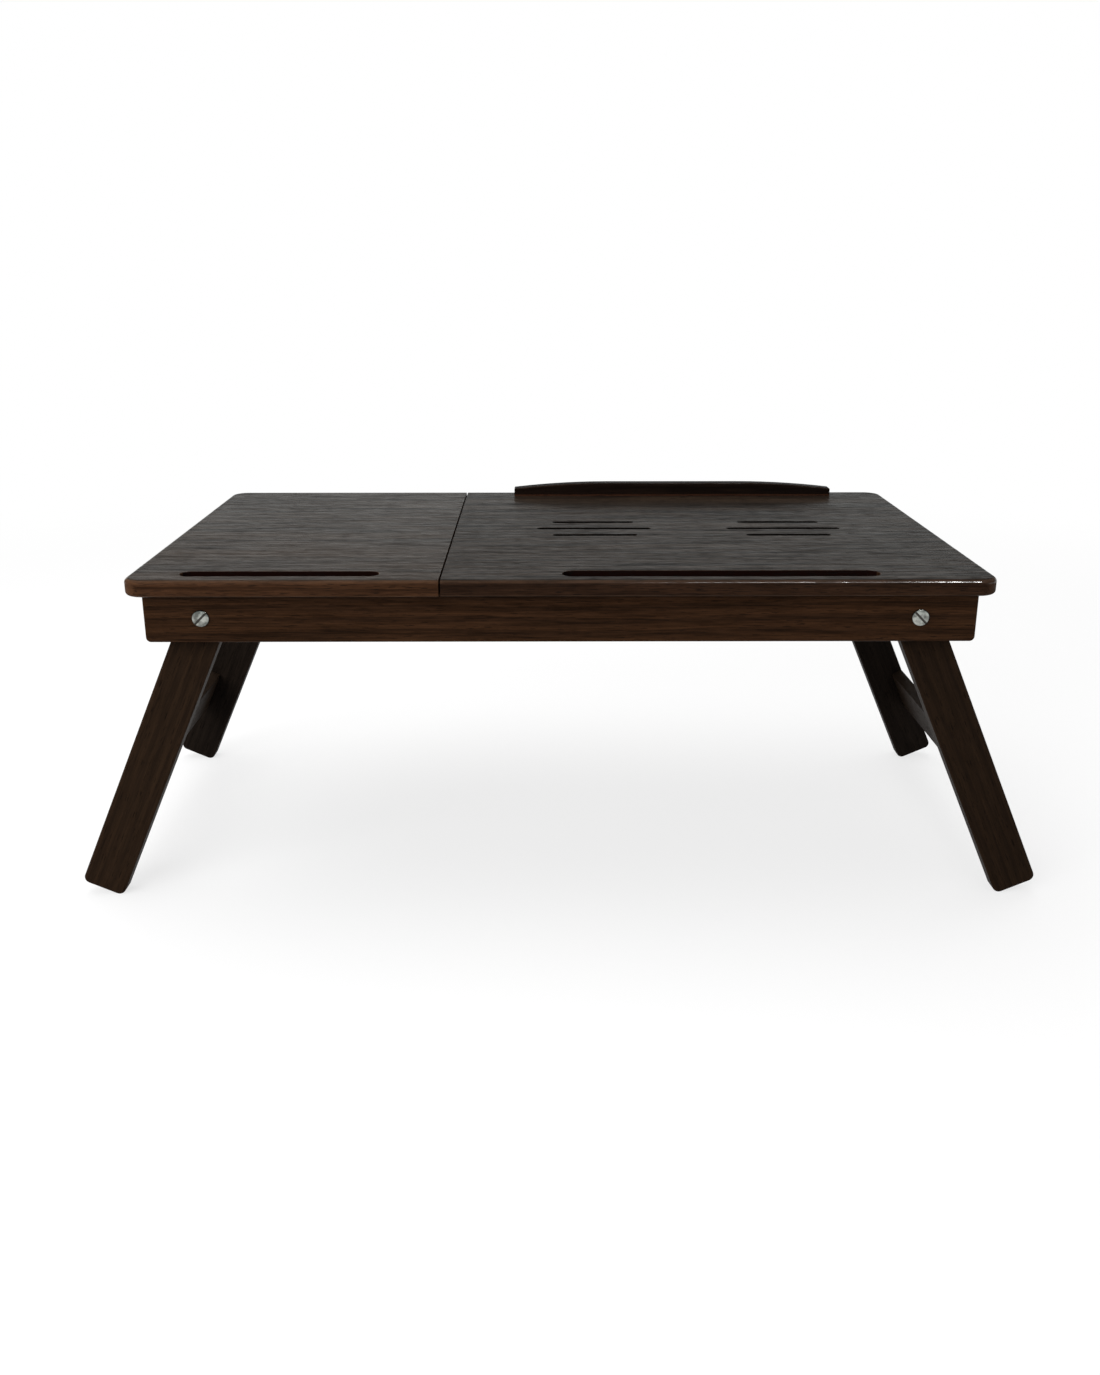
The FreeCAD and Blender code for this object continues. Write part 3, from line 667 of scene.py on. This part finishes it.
@dataclass(frozen=True)
class RoundFace:
    """The grid of a round face with a recess for a driver.

    The grid runs over a square whose lines are laid on the disc in one of two ways. Lines that
    bound the recess come twice, once at the level of the face and once at its floor, so its walls
    are upright. The outer lines lie beyond the recess, and the inner ones run along it.
    """

    weave: Weave
    half_width: float
    half_length: float
    outer_lines: int
    inner_lines: int

    def lines(self, both_arms: bool) -> tuple[Array, Array, Array]:
        """The grid lines along one side of the square.

        Args:
            both_arms: Whether the lines also mark the length of the recess.

        Returns:
            The places of the lines from -1 to 1, which of them lie within the recess's width, and
            which within its length.
        """
        width, length = self.half_width, self.half_length
        if both_arms:
            between = np.linspace(width, length, self.inner_lines)
            beyond = np.linspace(length, 1.0, self.outer_lines)
        else:
            between = width + (1.0 - width) * np.sin(np.linspace(0.0, np.pi / 2, self.outer_lines))
            beyond = np.empty(0)
        half = np.concatenate([[0.0, width], between, beyond])
        in_width = np.arange(len(half)) < 2
        in_length = np.arange(len(half)) < 2 + len(between)
        mirrored = [np.concatenate([values[:0:-1], values]) for values in (in_width, in_length)]
        return np.concatenate([-half[:0:-1], half]), mirrored[0], mirrored[1]

    def grid(self) -> tuple[Array, Array, Array]:
        """Lays the square grid over a disc of radius 1.

        Chords: x = u and y = v * sqrt(1 - u^2), so lines of equal u stay straight and the recess
        runs right across. Rounded square: x = u * sqrt(1 - v^2 / 2) and y = v * sqrt(1 - u^2 / 2),
        with a recess in the form of a cross.

        Returns:
            Two arrays of places and one that says which points lie on the floor of the recess.
        """
        if self.weave is Weave.CHORDS:
            u_lines, in_width, _ = self.lines(False)
            v_lines = np.sin(np.linspace(-np.pi / 2, np.pi / 2, self.inner_lines))
            u, v = np.meshgrid(u_lines, v_lines, indexing="ij")
            recess = np.broadcast_to(in_width[:, None], u.shape)
            return u, v * np.sqrt(np.maximum(0.0, 1.0 - u ** 2)), recess
        lines, in_width, in_length = self.lines(True)
        u, v = np.meshgrid(lines, lines, indexing="ij")
        recess = (in_width[:, None] & in_length) | (in_length[:, None] & in_width)
        return u * np.sqrt(1.0 - v ** 2 / 2), v * np.sqrt(1.0 - u ** 2 / 2), recess


def rim_of(grid: Array) -> Array:
    """The entries round the edge of a grid, in order."""
    return np.concatenate([grid[0, :-1], grid[:-1, -1], grid[-1, :0:-1], grid[:0:-1, 0]])


def rim_angles(face: Array) -> Array:
    """The angles of the points round the edge of a grid, in the order of rim_of."""
    rim = rim_of(face)
    return np.arctan2(rim[:, 1], rim[:, 0])


def closed_turning(face: Array, radii: Array, heights: Array) -> Arrays:
    """Hangs a turned body under the grid of a face.

    Every ring keeps the angles of the face's rim: x = r * cos(angle), y = r * sin(angle). The last
    ring has no radius, so that merging its points closes the body.

    Args:
        face: Grid of points, rows by columns by 3.
        radii: Radius by ring and rim point.
        heights: Height by ring.

    Returns:
        All points, and the four corners of each face.
    """
    number = np.arange(face.shape[0] * face.shape[1]).reshape(face.shape[:2])
    angle = rim_angles(face)
    level = np.broadcast_to(heights[:, None], radii.shape)
    rings = np.stack([radii * np.cos(angle), radii * np.sin(angle), level], axis=-1)
    later = number.size + np.arange(radii.size).reshape(radii.shape)
    loops = np.concatenate([rim_of(number)[None], later])
    ahead = np.roll(loops, -1, axis=1)
    side = np.stack([loops[:-1], loops[1:], ahead[1:], ahead[:-1]], axis=-1)
    cells = np.stack([number[:-1, :-1], number[1:, :-1], number[1:, 1:], number[:-1, 1:]], axis=-1)
    return (np.concatenate([face.reshape(-1, 3), rings.reshape(-1, 3)]),
            np.concatenate([cells.reshape(-1, 4), side.reshape(-1, 4)]))


@dataclass
class Top:
    """The two boards of the top and the stop strip."""

    groove_margin: float = 0.004
    groove_rim: float = 0.0001
    # These values set a lighter orange line painted round the bottom of the stop strip: a painted
    # highlight where its lower arris catches light.
    foot_line: float = 0.0011
    foot_strength: float = 0.8
    fixed: StainedWood = StainedWood(
        dark=(0.0088, 0.006, 0.0044), light=(0.039, 0.0245, 0.0155),
        flank_dark=(0.0155, 0.0066, 0.0031), flank_light=(0.06, 0.0262, 0.012),
        worn=(0.09, 0.042, 0.02), pore=(0.004, 0.003, 0.0025), pore_share=0.55,
        lacquer=0.41, edge_lacquer=0.16)
    # The tilting panel's colours, its edge colours most of all, are darker than the fixed panel's
    # and its face lacquer thinner: painted shade and a dimmer painted reflection for the right half
    # of the top, which gets less light.
    tilting: StainedWood = StainedWood(
        dark=(0.0066, 0.0047, 0.0036), light=(0.032, 0.0205, 0.0132),
        flank_dark=(0.0094, 0.0043, 0.0023), flank_light=(0.0348, 0.0162, 0.0084),
        worn=(0.066, 0.032, 0.016), pore=(0.004, 0.003, 0.0025), pore_share=0.55,
        lacquer=0.32, edge_lacquer=0.36, sheen_play=1.4)
    strip: StainedWood = StainedWood(
        dark=(0.004, 0.0024, 0.0017), light=(0.0105, 0.0056, 0.004),
        flank_dark=(0.0038, 0.0021, 0.0015), flank_light=(0.011, 0.0056, 0.0036),
        worn=(0.024, 0.012, 0.007), pore=(0.002, 0.0014, 0.001), pore_share=0.35,
        lacquer=0.1, flank_lacquer=0.02, edge_lacquer=0.2)
    fixed_shift: Point = (0.31, 0.07, 0.0)
    tilting_shift: Point = (1.9, -0.21, 0.03)
    strip_shift: Point = (5.3, 0.4, 0.2)
    # Painted shade: a near-black red-brown painted over the walls and floor of each panel's groove,
    # where little light reaches.
    groove_colour: Colour = (0.007, 0.0021, 0.0014)
    # Painted shade: the walls of the vents in the tilting panel are painted near-black, where
    # little light reaches.
    slots: Patch = Patch((-0.03, -0.038, 0.2385), (0.27, 0.042, 0.2499), (0.0018, 0.0013, 0.001))
    foot_colour: Colour = (0.046, 0.017, 0.0085)

    def build(self) -> None:
        """Dresses the boards and the strip."""
        boards = (("fixed_panel", self.fixed, self.fixed_shift, []),
                  ("tilting_panel", self.tilting, self.tilting_shift, [self.slots]))
        margin = self.groove_margin
        for node, finish, shift, patches in boards:
            low, high = stated_box(node + "_groove")
            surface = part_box(node)[1][2] - self.groove_rim
            low = tuple(value - margin for value in low)
            high = (high[0] + margin, high[1] + margin, surface)
            # Paints shade over the groove's walls and floor, up to just below the top face.
            groove_shade = Patch(low, high, self.groove_colour)
            shader = finish.material(node + "_wood", Grain.ALONG_TABLE, shift, [groove_shade, *patches])
            dress(node, shader)
        # Paints a highlight line round the bottom of the stop strip.
        low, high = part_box("stop_strip")
        line = self.foot_line
        foot_highlight = Patch((low[0], low[1] - line, low[2] - line), (high[0], high[1], low[2] + line),
                     self.foot_colour, self.foot_strength)
        strip = self.strip.material("strip_wood", Grain.ALONG_TABLE, self.strip_shift, [foot_highlight])
        dress("stop_strip", strip)


@dataclass
class BoxFrame:
    """The rails, the batten and the dowels under the top, cut from the log step by step."""

    finish: StainedWood = StainedWood(
        dark=(0.012, 0.005, 0.002), light=(0.036, 0.0165, 0.007),
        flank_dark=(0.0112, 0.0049, 0.0021), flank_light=(0.0452, 0.0195, 0.0082),
        worn=(0.058, 0.026, 0.012), pore=(0.004, 0.0022, 0.0014), lacquer=0.12,
        edge_lacquer=0.15, ring_width=0.009)
    plain: StainedWood = StainedWood(
        dark=(0.36, 0.23, 0.12), light=(0.55, 0.39, 0.22), worn=(0.55, 0.39, 0.22),
        pore=(0.25, 0.16, 0.08), roughness=0.6, pore_share=0.2,
        lacquer=0.0, flank_lacquer=0.0, edge_lacquer=0.0)
    along: Names = ("front_rail", "rear_rail")
    along_shift: Point = (0.9, 0.02, 0.0)
    along_step: Point = (1.7, 0.0, 0.13)
    across: Names = ("left_end_rail", "right_end_rail", "centre_rail", "seam_batten")
    across_shift: Point = (3.1, 0.0, 0.1)
    across_step: Point = (0.8, 0.05, 0.0)
    dowels: Names = ("corner_dowels", "centre_rail_dowels", "fixed_panel_dowels")
    dowel_shift: Point = (7.0, 0.0, 0.0)

    def build(self) -> None:
        """Dresses the frame."""
        rows = (
            (self.along, self.finish, Grain.ALONG_TABLE, self.along_shift, self.along_step),
            (self.across, self.finish, Grain.ACROSS_TABLE, self.across_shift, self.across_step),
            (self.dowels, self.plain, Grain.ALONG_TABLE, self.dowel_shift, ORIGIN))
        for nodes, finish, grain, start, step in rows:
            for index, node in enumerate(nodes):
                shift = tuple(first + index * more for first, more in zip(start, step))
                dress(node, finish.material(node + "_wood", grain, shift))


@dataclass
class LegPair:
    """The two legs of one end and the stretcher between them.

    Start is where in the log the front leg was cut, spacing how much further along each piece was,
    and depth what the colours of the front leg are multiplied by, which below 1 paints shade on it.
    """

    side: str
    grain: Grain
    start: float
    depth: float = 1.0
    spacing: tuple[float, ...] = (0.0, 1.3, 2.9)
    drift: float = 0.03
    level: float = 0.07
    front: StainedWood = StainedWood(
        dark=(0.0127, 0.0071, 0.0041), light=(0.023, 0.0125, 0.0069),
        flank_light=(0.0247, 0.0134, 0.0071), worn=(0.034, 0.019, 0.011),
        pore=(0.003, 0.002, 0.0015), lacquer=0.05, flank_lacquer=0.015, edge_lacquer=0.06)
    # The rear legs' colours are darker and their lacquer thinner than the front legs': painted
    # shade, as they stand back under the table.
    rear: StainedWood = StainedWood(
        dark=(0.0066, 0.0046, 0.0035), light=(0.0134, 0.0092, 0.0068),
        worn=(0.022, 0.013, 0.008), pore=(0.002, 0.0015, 0.001),
        lacquer=0.03, flank_lacquer=0.01, edge_lacquer=0.04)
    bar: StainedWood = StainedWood(
        dark=(0.01, 0.0066, 0.0046), light=(0.0214, 0.0143, 0.01),
        worn=(0.03, 0.018, 0.011), pore=(0.003, 0.002, 0.0015),
        lacquer=0.1, flank_lacquer=0.05, edge_lacquer=0.08)

    def build(self) -> None:
        """Dresses the pair."""
        pieces = (
            ("front_leg", self.front.stained(self.depth), self.grain),
            ("rear_leg", self.rear, self.grain), ("stretcher", self.bar, Grain.ACROSS_TABLE))
        for (piece, finish, grain), along in zip(pieces, self.spacing):
            node = f"{self.side}_{piece}"
            shift = (self.start + along, self.drift * along, self.level)
            dress(node, finish.material(node + "_wood", grain, shift))


@dataclass
class PivotBolts:
    """The four bolts on which the legs swing, with a domed, slotted head and a rolled thread."""

    head_radius: float = 0.006
    head_height: float = 0.0017
    dome_rise: float = 0.00045
    rim_round: float = 0.0009
    rim_drop: float = 0.00065
    under_chamfer: float = 0.00015
    slot_width: float = 0.0015
    slot_depth: float = 0.0008
    slot_angle: float = 45.0
    shank_radius: float = 0.003
    shank_length: float = 0.0385
    thread_root: float = 0.00245
    thread_pitch: float = 0.001
    thread_length: float = 0.0105
    thread_steps: int = 8
    end_taper: float = 0.0008
    end_share: float = 0.8
    steel: PlatedSteel = PlatedSteel((0.4, 0.41, 0.38), (0.13, 0.135, 0.125), 0.17, Marks.TURNED)
    # How far above the rail's face the dirt and painted shade of the slot and rim fade out.
    grime_span: Span = (0.00085, 0.00128)
    side_lines: int = 11
    cross_lines: int = 21

    def head(self) -> Array:
        """The domed face of the head with its slot.

        The dome falls with the square of the radius and its rim with a quarter circle. In the slot
        the height is that of the slot's floor, or of the dome where that is lower.

        Returns:
            A grid of points, in the bolt's frame with Z out of the rail.
        """
        face = RoundFace(Weave.CHORDS, self.slot_width / 2 / self.head_radius, 1.0,
                         self.side_lines, self.cross_lines)
        x, y, recess = face.grid()
        radius = np.hypot(x, y)
        inner = 1.0 - self.rim_round / self.head_radius
        dome = self.head_height - self.dome_rise * np.minimum(radius / inner, 1.0) ** 2
        over = np.clip((radius - inner) / (1.0 - inner), 0.0, 1.0)
        dome -= self.rim_drop * (1.0 - np.sqrt(1.0 - over ** 2))
        floor = self.head_height - self.slot_depth
        height = np.where(recess, np.minimum(dome, floor), dome)
        return np.stack([x * self.head_radius, y * self.head_radius, height], axis=-1)

    def body(self, angles: Array) -> Arrays:
        """The head's side, the plain shank and the thread.

        The thread's radius runs between root and crest with a triangle wave of the depth over the
        pitch less the share of a turn, so its ridge is a helix.

        Args:
            angles: The angles round the rim.

        Returns:
            Radius by ring and angle, and height by ring.
        """
        start = self.shank_length - self.thread_length
        count = round(self.thread_length / self.thread_pitch * self.thread_steps) + 1
        depth = np.linspace(start, self.shank_length, count)
        phase = depth[:, None] / self.thread_pitch - angles / (2 * np.pi)
        ridge = 1.0 - np.abs(2.0 * (phase % 1.0) - 1.0)
        thread = self.thread_root + (self.shank_radius - self.thread_root) * ridge
        taper = np.clip((self.shank_length - depth) / self.end_taper, 0.0, 1.0)
        thread *= (self.end_share + (1.0 - self.end_share) * taper)[:, None]
        head, shank = self.head_radius, self.shank_radius
        plain = np.array([[head], [head - self.under_chamfer], [shank], [shank]])
        heights = [self.under_chamfer, 0.0, 0.0, -start]
        middle = np.zeros((1, len(angles)))
        radii = np.concatenate([np.tile(plain, (1, len(angles))), thread, middle])
        return radii, np.concatenate([heights, -depth, [-self.shank_length]])

    def build(self) -> None:
        """Builds the four bolts in place of the plain ones."""
        low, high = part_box("pivot_bolts")
        pivot_x = high[0] - self.head_radius
        pivot_z = (low[2] + high[2]) / 2
        face_y = high[1] - self.head_height
        seats = []
        for side in (-1.0, 1.0):
            for end in (-1.0, 1.0):
                turn = math.radians(side * self.slot_angle)
                outward = np.array([0.0, end, 0.0])
                along = np.array([math.cos(turn), 0.0, -math.sin(turn)])
                axes = np.stack([np.cross(along, outward), along, outward])
                seats.append((np.array([side * pivot_x, end * face_y, pivot_z]), axes))
        face = self.head()
        points, faces = closed_turning(face, *self.body(rim_angles(face)))
        piece = turned_object("slotted_pivot_bolts", points, faces, seats)
        sunk = (face_y, *(face_y + height for height in self.grime_span))
        shader = self.steel.material("slotted_bolt_steel", (pivot_x, 0.0, pivot_z), sunk)
        piece.data.materials.append(shader)
        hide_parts("pivot_bolts")
        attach(piece, "frame")
        LOG.info("built %s", piece.name)


@dataclass
class WoodScrews:
    """Countersunk wood screws with a cross recess and a cut thread."""

    head_radius: float = 0.0027
    head_height: float = 0.0015
    recess_half_width: float = 0.14
    recess_half_length: float = 0.6
    recess_depth: float = 0.0013
    recess_rise: float = 0.7
    shank_radius: float = 0.0014
    core_radius: float = 0.00095
    tip_length: float = 0.002
    thread_pitch: float = 0.0013
    thread_steps: int = 5
    rim_depth: float = 0.0001
    turn_step: float = 1.1
    ridge_power: int = 6
    outer_lines: int = 4
    inner_lines: int = 3
    place_digits: int = 4
    steel: PlatedSteel = PlatedSteel((0.58, 0.58, 0.56), (0.4, 0.4, 0.38), 0.3, Marks.DRAWN)
    bodies: tuple[tuple[str, str, bool], ...] = (
        ("rail_leaf_screws", "frame", False), ("panel_leaf_screws", "tilting_top", True),
        ("stop_strip_screws", "tilting_top", True), ("bail_saddle_screws", "tilting_top", True))

    def head(self) -> Array:
        """The flat face of the head, with a cross recess that grows deeper to its middle.

        Returns:
            A grid of points, in the screw's frame with Z out of the head.
        """
        face = RoundFace(Weave.ROUNDED_SQUARE, self.recess_half_width, self.recess_half_length,
                         self.outer_lines, self.inner_lines)
        x, y, recess = face.grid()
        reach = np.minimum(np.hypot(x, y) / self.recess_half_length, 1.0)
        depth = self.recess_depth * (1.0 - self.recess_rise * reach)
        height = np.where(recess, -depth, 0.0)
        return np.stack([x * self.head_radius, y * self.head_radius, height], axis=-1)

    def body(self, angles: Array, length: float) -> Arrays:
        """The cone under the head and the threaded shank, which tapers to its tip.

        The thread is a narrow ridge: a high power of the cosine of half the phase, where the phase
        is the depth over the pitch less the share of a turn.

        Args:
            angles: The angles round the rim.
            length: Length of the screw.

        Returns:
            Radius by ring and angle, and height by ring.
        """
        count = round((length - self.head_height) / self.thread_pitch * self.thread_steps) + 1
        depth = np.linspace(self.head_height, length, count)
        phase = depth[:, None] / self.thread_pitch - angles / (2 * np.pi)
        ridge = np.abs(np.cos(np.pi * phase)) ** self.ridge_power
        taper = np.clip((length - depth) / self.tip_length, 0.0, 1.0)[:, None]
        run_in = np.clip((depth - self.head_height) / self.thread_pitch, 0.0, 1.0)[:, None]
        thread = self.core_radius + (self.shank_radius - self.core_radius) * ridge * run_in
        head = np.tile(np.array([[self.head_radius]]), (1, len(angles)))
        return np.concatenate([head, thread * taper]), np.concatenate([[-self.rim_depth], -depth])

    def build(self) -> None:
        """Builds each group of screws in place of its plain CAD node."""
        face = self.head()
        angles = rim_angles(face)
        for node, body, upward in self.bodies:
            low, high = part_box(node)
            points, faces = closed_turning(face, *self.body(angles, high[2] - low[2]))
            solid = solid_points(node)
            tip = high[2] if upward else low[2]
            tips = solid[np.abs(solid[:, 2] - tip) < self.rim_depth]
            places = np.unique(np.round(tips[:, :2], self.place_digits), axis=0)
            outward = np.array([0.0, 0.0, -1.0 if upward else 1.0])
            seats = []
            for index, (x, y) in enumerate(places):
                turn = index * self.turn_step
                first = np.array([math.cos(turn), math.sin(turn), 0.0])
                axes = np.stack([first, np.cross(outward, first), outward])
                seats.append((np.array([x, y, low[2] if upward else high[2]]), axes))
            name = node.replace("screws", "cross_screws")
            piece = turned_object(name, points, faces, seats)
            shader = self.steel.material(node + "_steel", ORIGIN)
            piece.data.materials.append(shader)
            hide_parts(node)
            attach(piece, body)
            LOG.info("built %s at %d places", piece.name, len(places))


@dataclass
class Hardware:
    """Washers, nuts, hinges and the wire bail."""

    bolt: PlatedSteel = PlatedSteel((0.55, 0.56, 0.54), (0.38, 0.39, 0.37), 0.26, Marks.TURNED)
    zinc: PlatedSteel = PlatedSteel((0.56, 0.56, 0.54), (0.42, 0.42, 0.4), 0.34, Marks.DRAWN)
    wire: PlatedSteel = PlatedSteel((0.52, 0.52, 0.51), (0.4, 0.4, 0.39), 0.28, Marks.DRAWN)
    turned: Names = ("pivot_washers", "pivot_nuts")
    sheet: Names = ("rail_hinge_leaves", "panel_hinge_leaves", "hinge_pins", "bail_saddles")
    bent: Names = ("prop_bail",)

    def build(self) -> None:
        """Dresses the hardware."""
        low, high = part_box("pivot_washers")
        radius = (high[2] - low[2]) / 2
        centre = (high[0] - radius, 0.0, low[2] + radius)
        for finish, nodes in (
                (self.bolt, self.turned), (self.zinc, self.sheet), (self.wire, self.bent)):
            for node in nodes:
                dress(node, finish.material(node + "_steel", centre))


@dataclass(frozen=True)
class Lamp:
    """An area lamp that looks at a point and lights matt surfaces, glossy ones, or both."""

    name: str
    place: Point
    target: Point
    size: tuple[float, float]
    watts: float
    in_matt: bool = True
    in_gloss: bool = True

    def build(self) -> None:
        """Hangs the lamp."""
        data = bpy.data.lights.new(self.name, "AREA")
        data.shape = "RECTANGLE"
        data.size, data.size_y = self.size
        data.energy = self.watts
        lamp = bpy.data.objects.new(self.name, data)
        lamp.location = self.place
        lamp.visible_diffuse = self.in_matt
        lamp.visible_glossy = self.in_gloss
        way = np.subtract(self.target, self.place)
        turn = math.atan2(way[1], way[0]) - math.pi / 2
        tip = math.atan2(-way[2], math.hypot(way[0], way[1]))
        lamp.rotation_euler = (math.pi / 2 - tip, 0.0, turn)
        bpy.context.scene.collection.objects.link(lamp)


@dataclass
class Studio:
    """The floor, the world, the lamps and the camera."""

    focal_pixels: float = 1291.84
    frame_pixels: float = 1375.0
    sensor: float = 36.0
    eye: Point = (-0.01201, -1.02899, 0.45736)
    pitch: float = 18.38
    yaw: float = 0.29
    floor_size: float = 30.0
    floor_colour: Colour = (0.88, 0.88, 0.88)
    bounce_colour: Colour = (0.42, 0.42, 0.42)
    near_glow: float = 0.72
    fade_span: Span = (0.55, 1.7)
    room_level: float = 0.42
    mirrored_tint: Colour = (0.93, 0.99, 1.0)
    horizon_span: Span = (0.17, 0.24)
    mirrored_levels: Span = (1.0, 0.16)
    paper_roughness: float = 0.9
    paper_specular: float = 0.1
    grit: Cells = Cells((420.0, 420.0, 420.0))
    grit_depth: float = 0.0002
    grit_strength: float = 0.1
    lamps: tuple[Lamp, ...] = (
        Lamp("overhead_softbox", (-0.35, 0.3, 1.7), (0.0, 0.0, 0.25), (2.2, 1.5), 30.0,
             in_gloss=False),
        Lamp("front_softbox", (-1.15, -1.7, 1.15), (0.0, 0.0, 0.2), (1.5, 1.2), 34.0,
             in_gloss=False),
        Lamp("glint_lamp", (0.74, -1.17, 1.5), (0.74 / 3, -0.17, 0.25), (0.34, 0.2), 30.0,
             in_matt=False),
        Lamp("glint_tail_lamp", (0.44, -1.17, 1.5), (0.44 / 3, -0.17, 0.25), (0.4, 0.2), 5.0,
             in_matt=False))

    def build(self) -> None:
        """Builds the studio."""
        self.add_floor()
        self.add_world()
        for lamp in self.lamps:
            lamp.build()
        self.add_camera()

    @staticmethod
    def sightings(graph: Graph) -> tuple[Socket, Socket]:
        """Tells how a ray comes.

        Args:
            graph: The graph of the material or the world.

        Returns:
            Whether it comes straight from the camera or through glass, and whether from a gloss.
        """
        path = graph.add("LightPath").outputs
        straight = graph.math("MAXIMUM", path["Is Camera Ray"], path["Is Transmission Ray"])
        return straight, path["Is Glossy Ray"]

    def add_floor(self) -> None:
        """Lays a pale floor that catches the shadow and runs out to white."""
        half = self.floor_size / 2
        edge = [(-half, -half, 0.0), (half, -half, 0.0), (half, half, 0.0), (-half, half, 0.0)]
        floor = mesh_object("studio_floor", np.array(edge), np.array([[0, 1, 2, 3]]))
        shader = new_material("studio_floor_paper")
        graph = Graph(shader.node_tree)
        place = graph.add("TexCoord").outputs["Object"]
        straight, glossy = self.sightings(graph)
        seen = graph.math("MAXIMUM", straight, glossy)
        bump = graph.add("Bump", {
            "Strength": self.grit_strength, "Distance": self.grit_depth,
            "Height": graph.noise(place, self.grit)}).outputs[0]
        paper = graph.add("BsdfPrincipled", {
            "Base Color": graph.mix(seen, self.bounce_colour, self.floor_colour),
            "Roughness": self.paper_roughness, "Specular IOR Level": self.paper_specular,
            "Normal": bump})
        glow = graph.add("Emission", {"Color": rgba(WHITE), "Strength": 1.0})
        away = graph.vector("LENGTH", place)
        share = graph.remap(away, self.fade_span, (self.near_glow, 1.0), smooth=True)
        share = graph.math("MULTIPLY", seen, share)
        blend = graph.add("MixShader", {0: share, 1: paper.outputs[0], 2: glow.outputs[0]})
        graph.add("OutputMaterial", {"Surface": blend.outputs[0]})
        floor.data.materials.append(shader)

    def add_world(self) -> None:
        """Adds a soft grey room behind a white backdrop.

        In a gloss, the backdrop ends a little above the horizon.
        """
        world = bpy.data.worlds.new("studio_world")
        world.use_nodes = True
        bpy.context.scene.world = world
        graph = Graph(world.node_tree)
        height = graph.split(graph.add("TexCoord").outputs["Generated"])[2]
        mirrored = graph.remap(height, self.horizon_span, self.mirrored_levels, smooth=True)
        straight, glossy = self.sightings(graph)
        strength = graph.remap(glossy, UNIT, (self.room_level, mirrored))
        strength = graph.math("MAXIMUM", strength, straight)
        tint = graph.mix(glossy, WHITE, self.mirrored_tint)
        backdrop = graph.add("Background", {"Color": tint, "Strength": strength})
        graph.add("OutputWorld", {"Surface": backdrop.outputs[0]})

    def add_camera(self) -> None:
        """Adds the camera that the photograph's straight edges give."""
        data = bpy.data.cameras.new("photo_camera")
        data.sensor_width = self.sensor
        data.lens = self.focal_pixels / self.frame_pixels * self.sensor
        camera = bpy.data.objects.new("photo_camera", data)
        camera.location = self.eye
        camera.rotation_euler = (math.radians(90.0 - self.pitch), 0.0, -math.radians(self.yaw))
        scene = bpy.context.scene
        scene.collection.objects.link(camera)
        scene.camera = camera
        scene.view_settings.view_transform = "Standard"


def mesh_object(name: str, points: Array, faces: Array) -> bpy.types.Object:
    """Makes an object at the origin from points and faces.

    Args:
        name: The object's name.
        points: One row for each vertex.
        faces: Vertex numbers of each face.

    Returns:
        The object, linked to the scene.
    """
    mesh = bpy.data.meshes.new(name)
    mesh.from_pydata(points.tolist(), [], faces.tolist())
    mesh.update()
    made = bpy.data.objects.new(name, mesh)
    bpy.context.scene.collection.objects.link(made)
    return made


def turned_object(name: str, points: Array, faces: Array, seats: Sequence[Arrays]
                  ) -> bpy.types.Object:
    """Makes an object of closed, smooth pieces whose sharp edges stay sharp.

    Points that coincide are merged, which also closes the poles, and the faces are turned outwards.

    Args:
        name: The object's name.
        points: The points of one piece, one row each.
        faces: Four point numbers for each face.
        seats: Origin and 3 by 3 axes of each piece, the axes as rows.

    Returns:
        The object, linked to the scene.
    """
    copies = [origin + points @ axes for origin, axes in seats]
    shifted = [faces + index * len(points) for index in range(len(seats))]
    made = mesh_object(name, np.concatenate(copies), np.concatenate(shifted))
    work = bmesh.new()
    work.from_mesh(made.data)
    bmesh.ops.remove_doubles(work, verts=work.verts, dist=MERGE_DISTANCE)
    bmesh.ops.dissolve_degenerate(work, edges=work.edges, dist=MERGE_DISTANCE)
    bmesh.ops.recalc_face_normals(work, faces=work.faces)
    open_edges = sum(1 for edge in work.edges if not edge.is_manifold)
    work.to_mesh(made.data)
    work.free()
    made.data.polygons.foreach_set("use_smooth", [True] * len(made.data.polygons))
    made.data.set_sharp_from_angle(angle=SHARP_ANGLE)
    LOG.info("%s has %d faces and %d open edges", name, len(made.data.polygons), open_edges)
    return made


def main() -> None:
    """Builds the whole scene in order."""
    logging.basicConfig(level=logging.INFO, format="%(name)s: %(message)s")
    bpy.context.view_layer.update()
    for effect in (BoardFigure, RubbedEdges, HandlingMarks, ToolMarks):
        effect().build()
    Top().build()
    BoxFrame().build()
    LegPair("left", Grain.LEFT_LEG, start=9.0).build()
    # The right front leg's colours are multiplied by depth: painted shade for the right side, which
    # gets less light.
    LegPair("right", Grain.RIGHT_LEG, start=14.0, depth=0.84).build()
    PivotBolts().build()
    WoodScrews().build()
    Hardware().build()
    Studio().build()


if __name__ == "__main__":
    main()
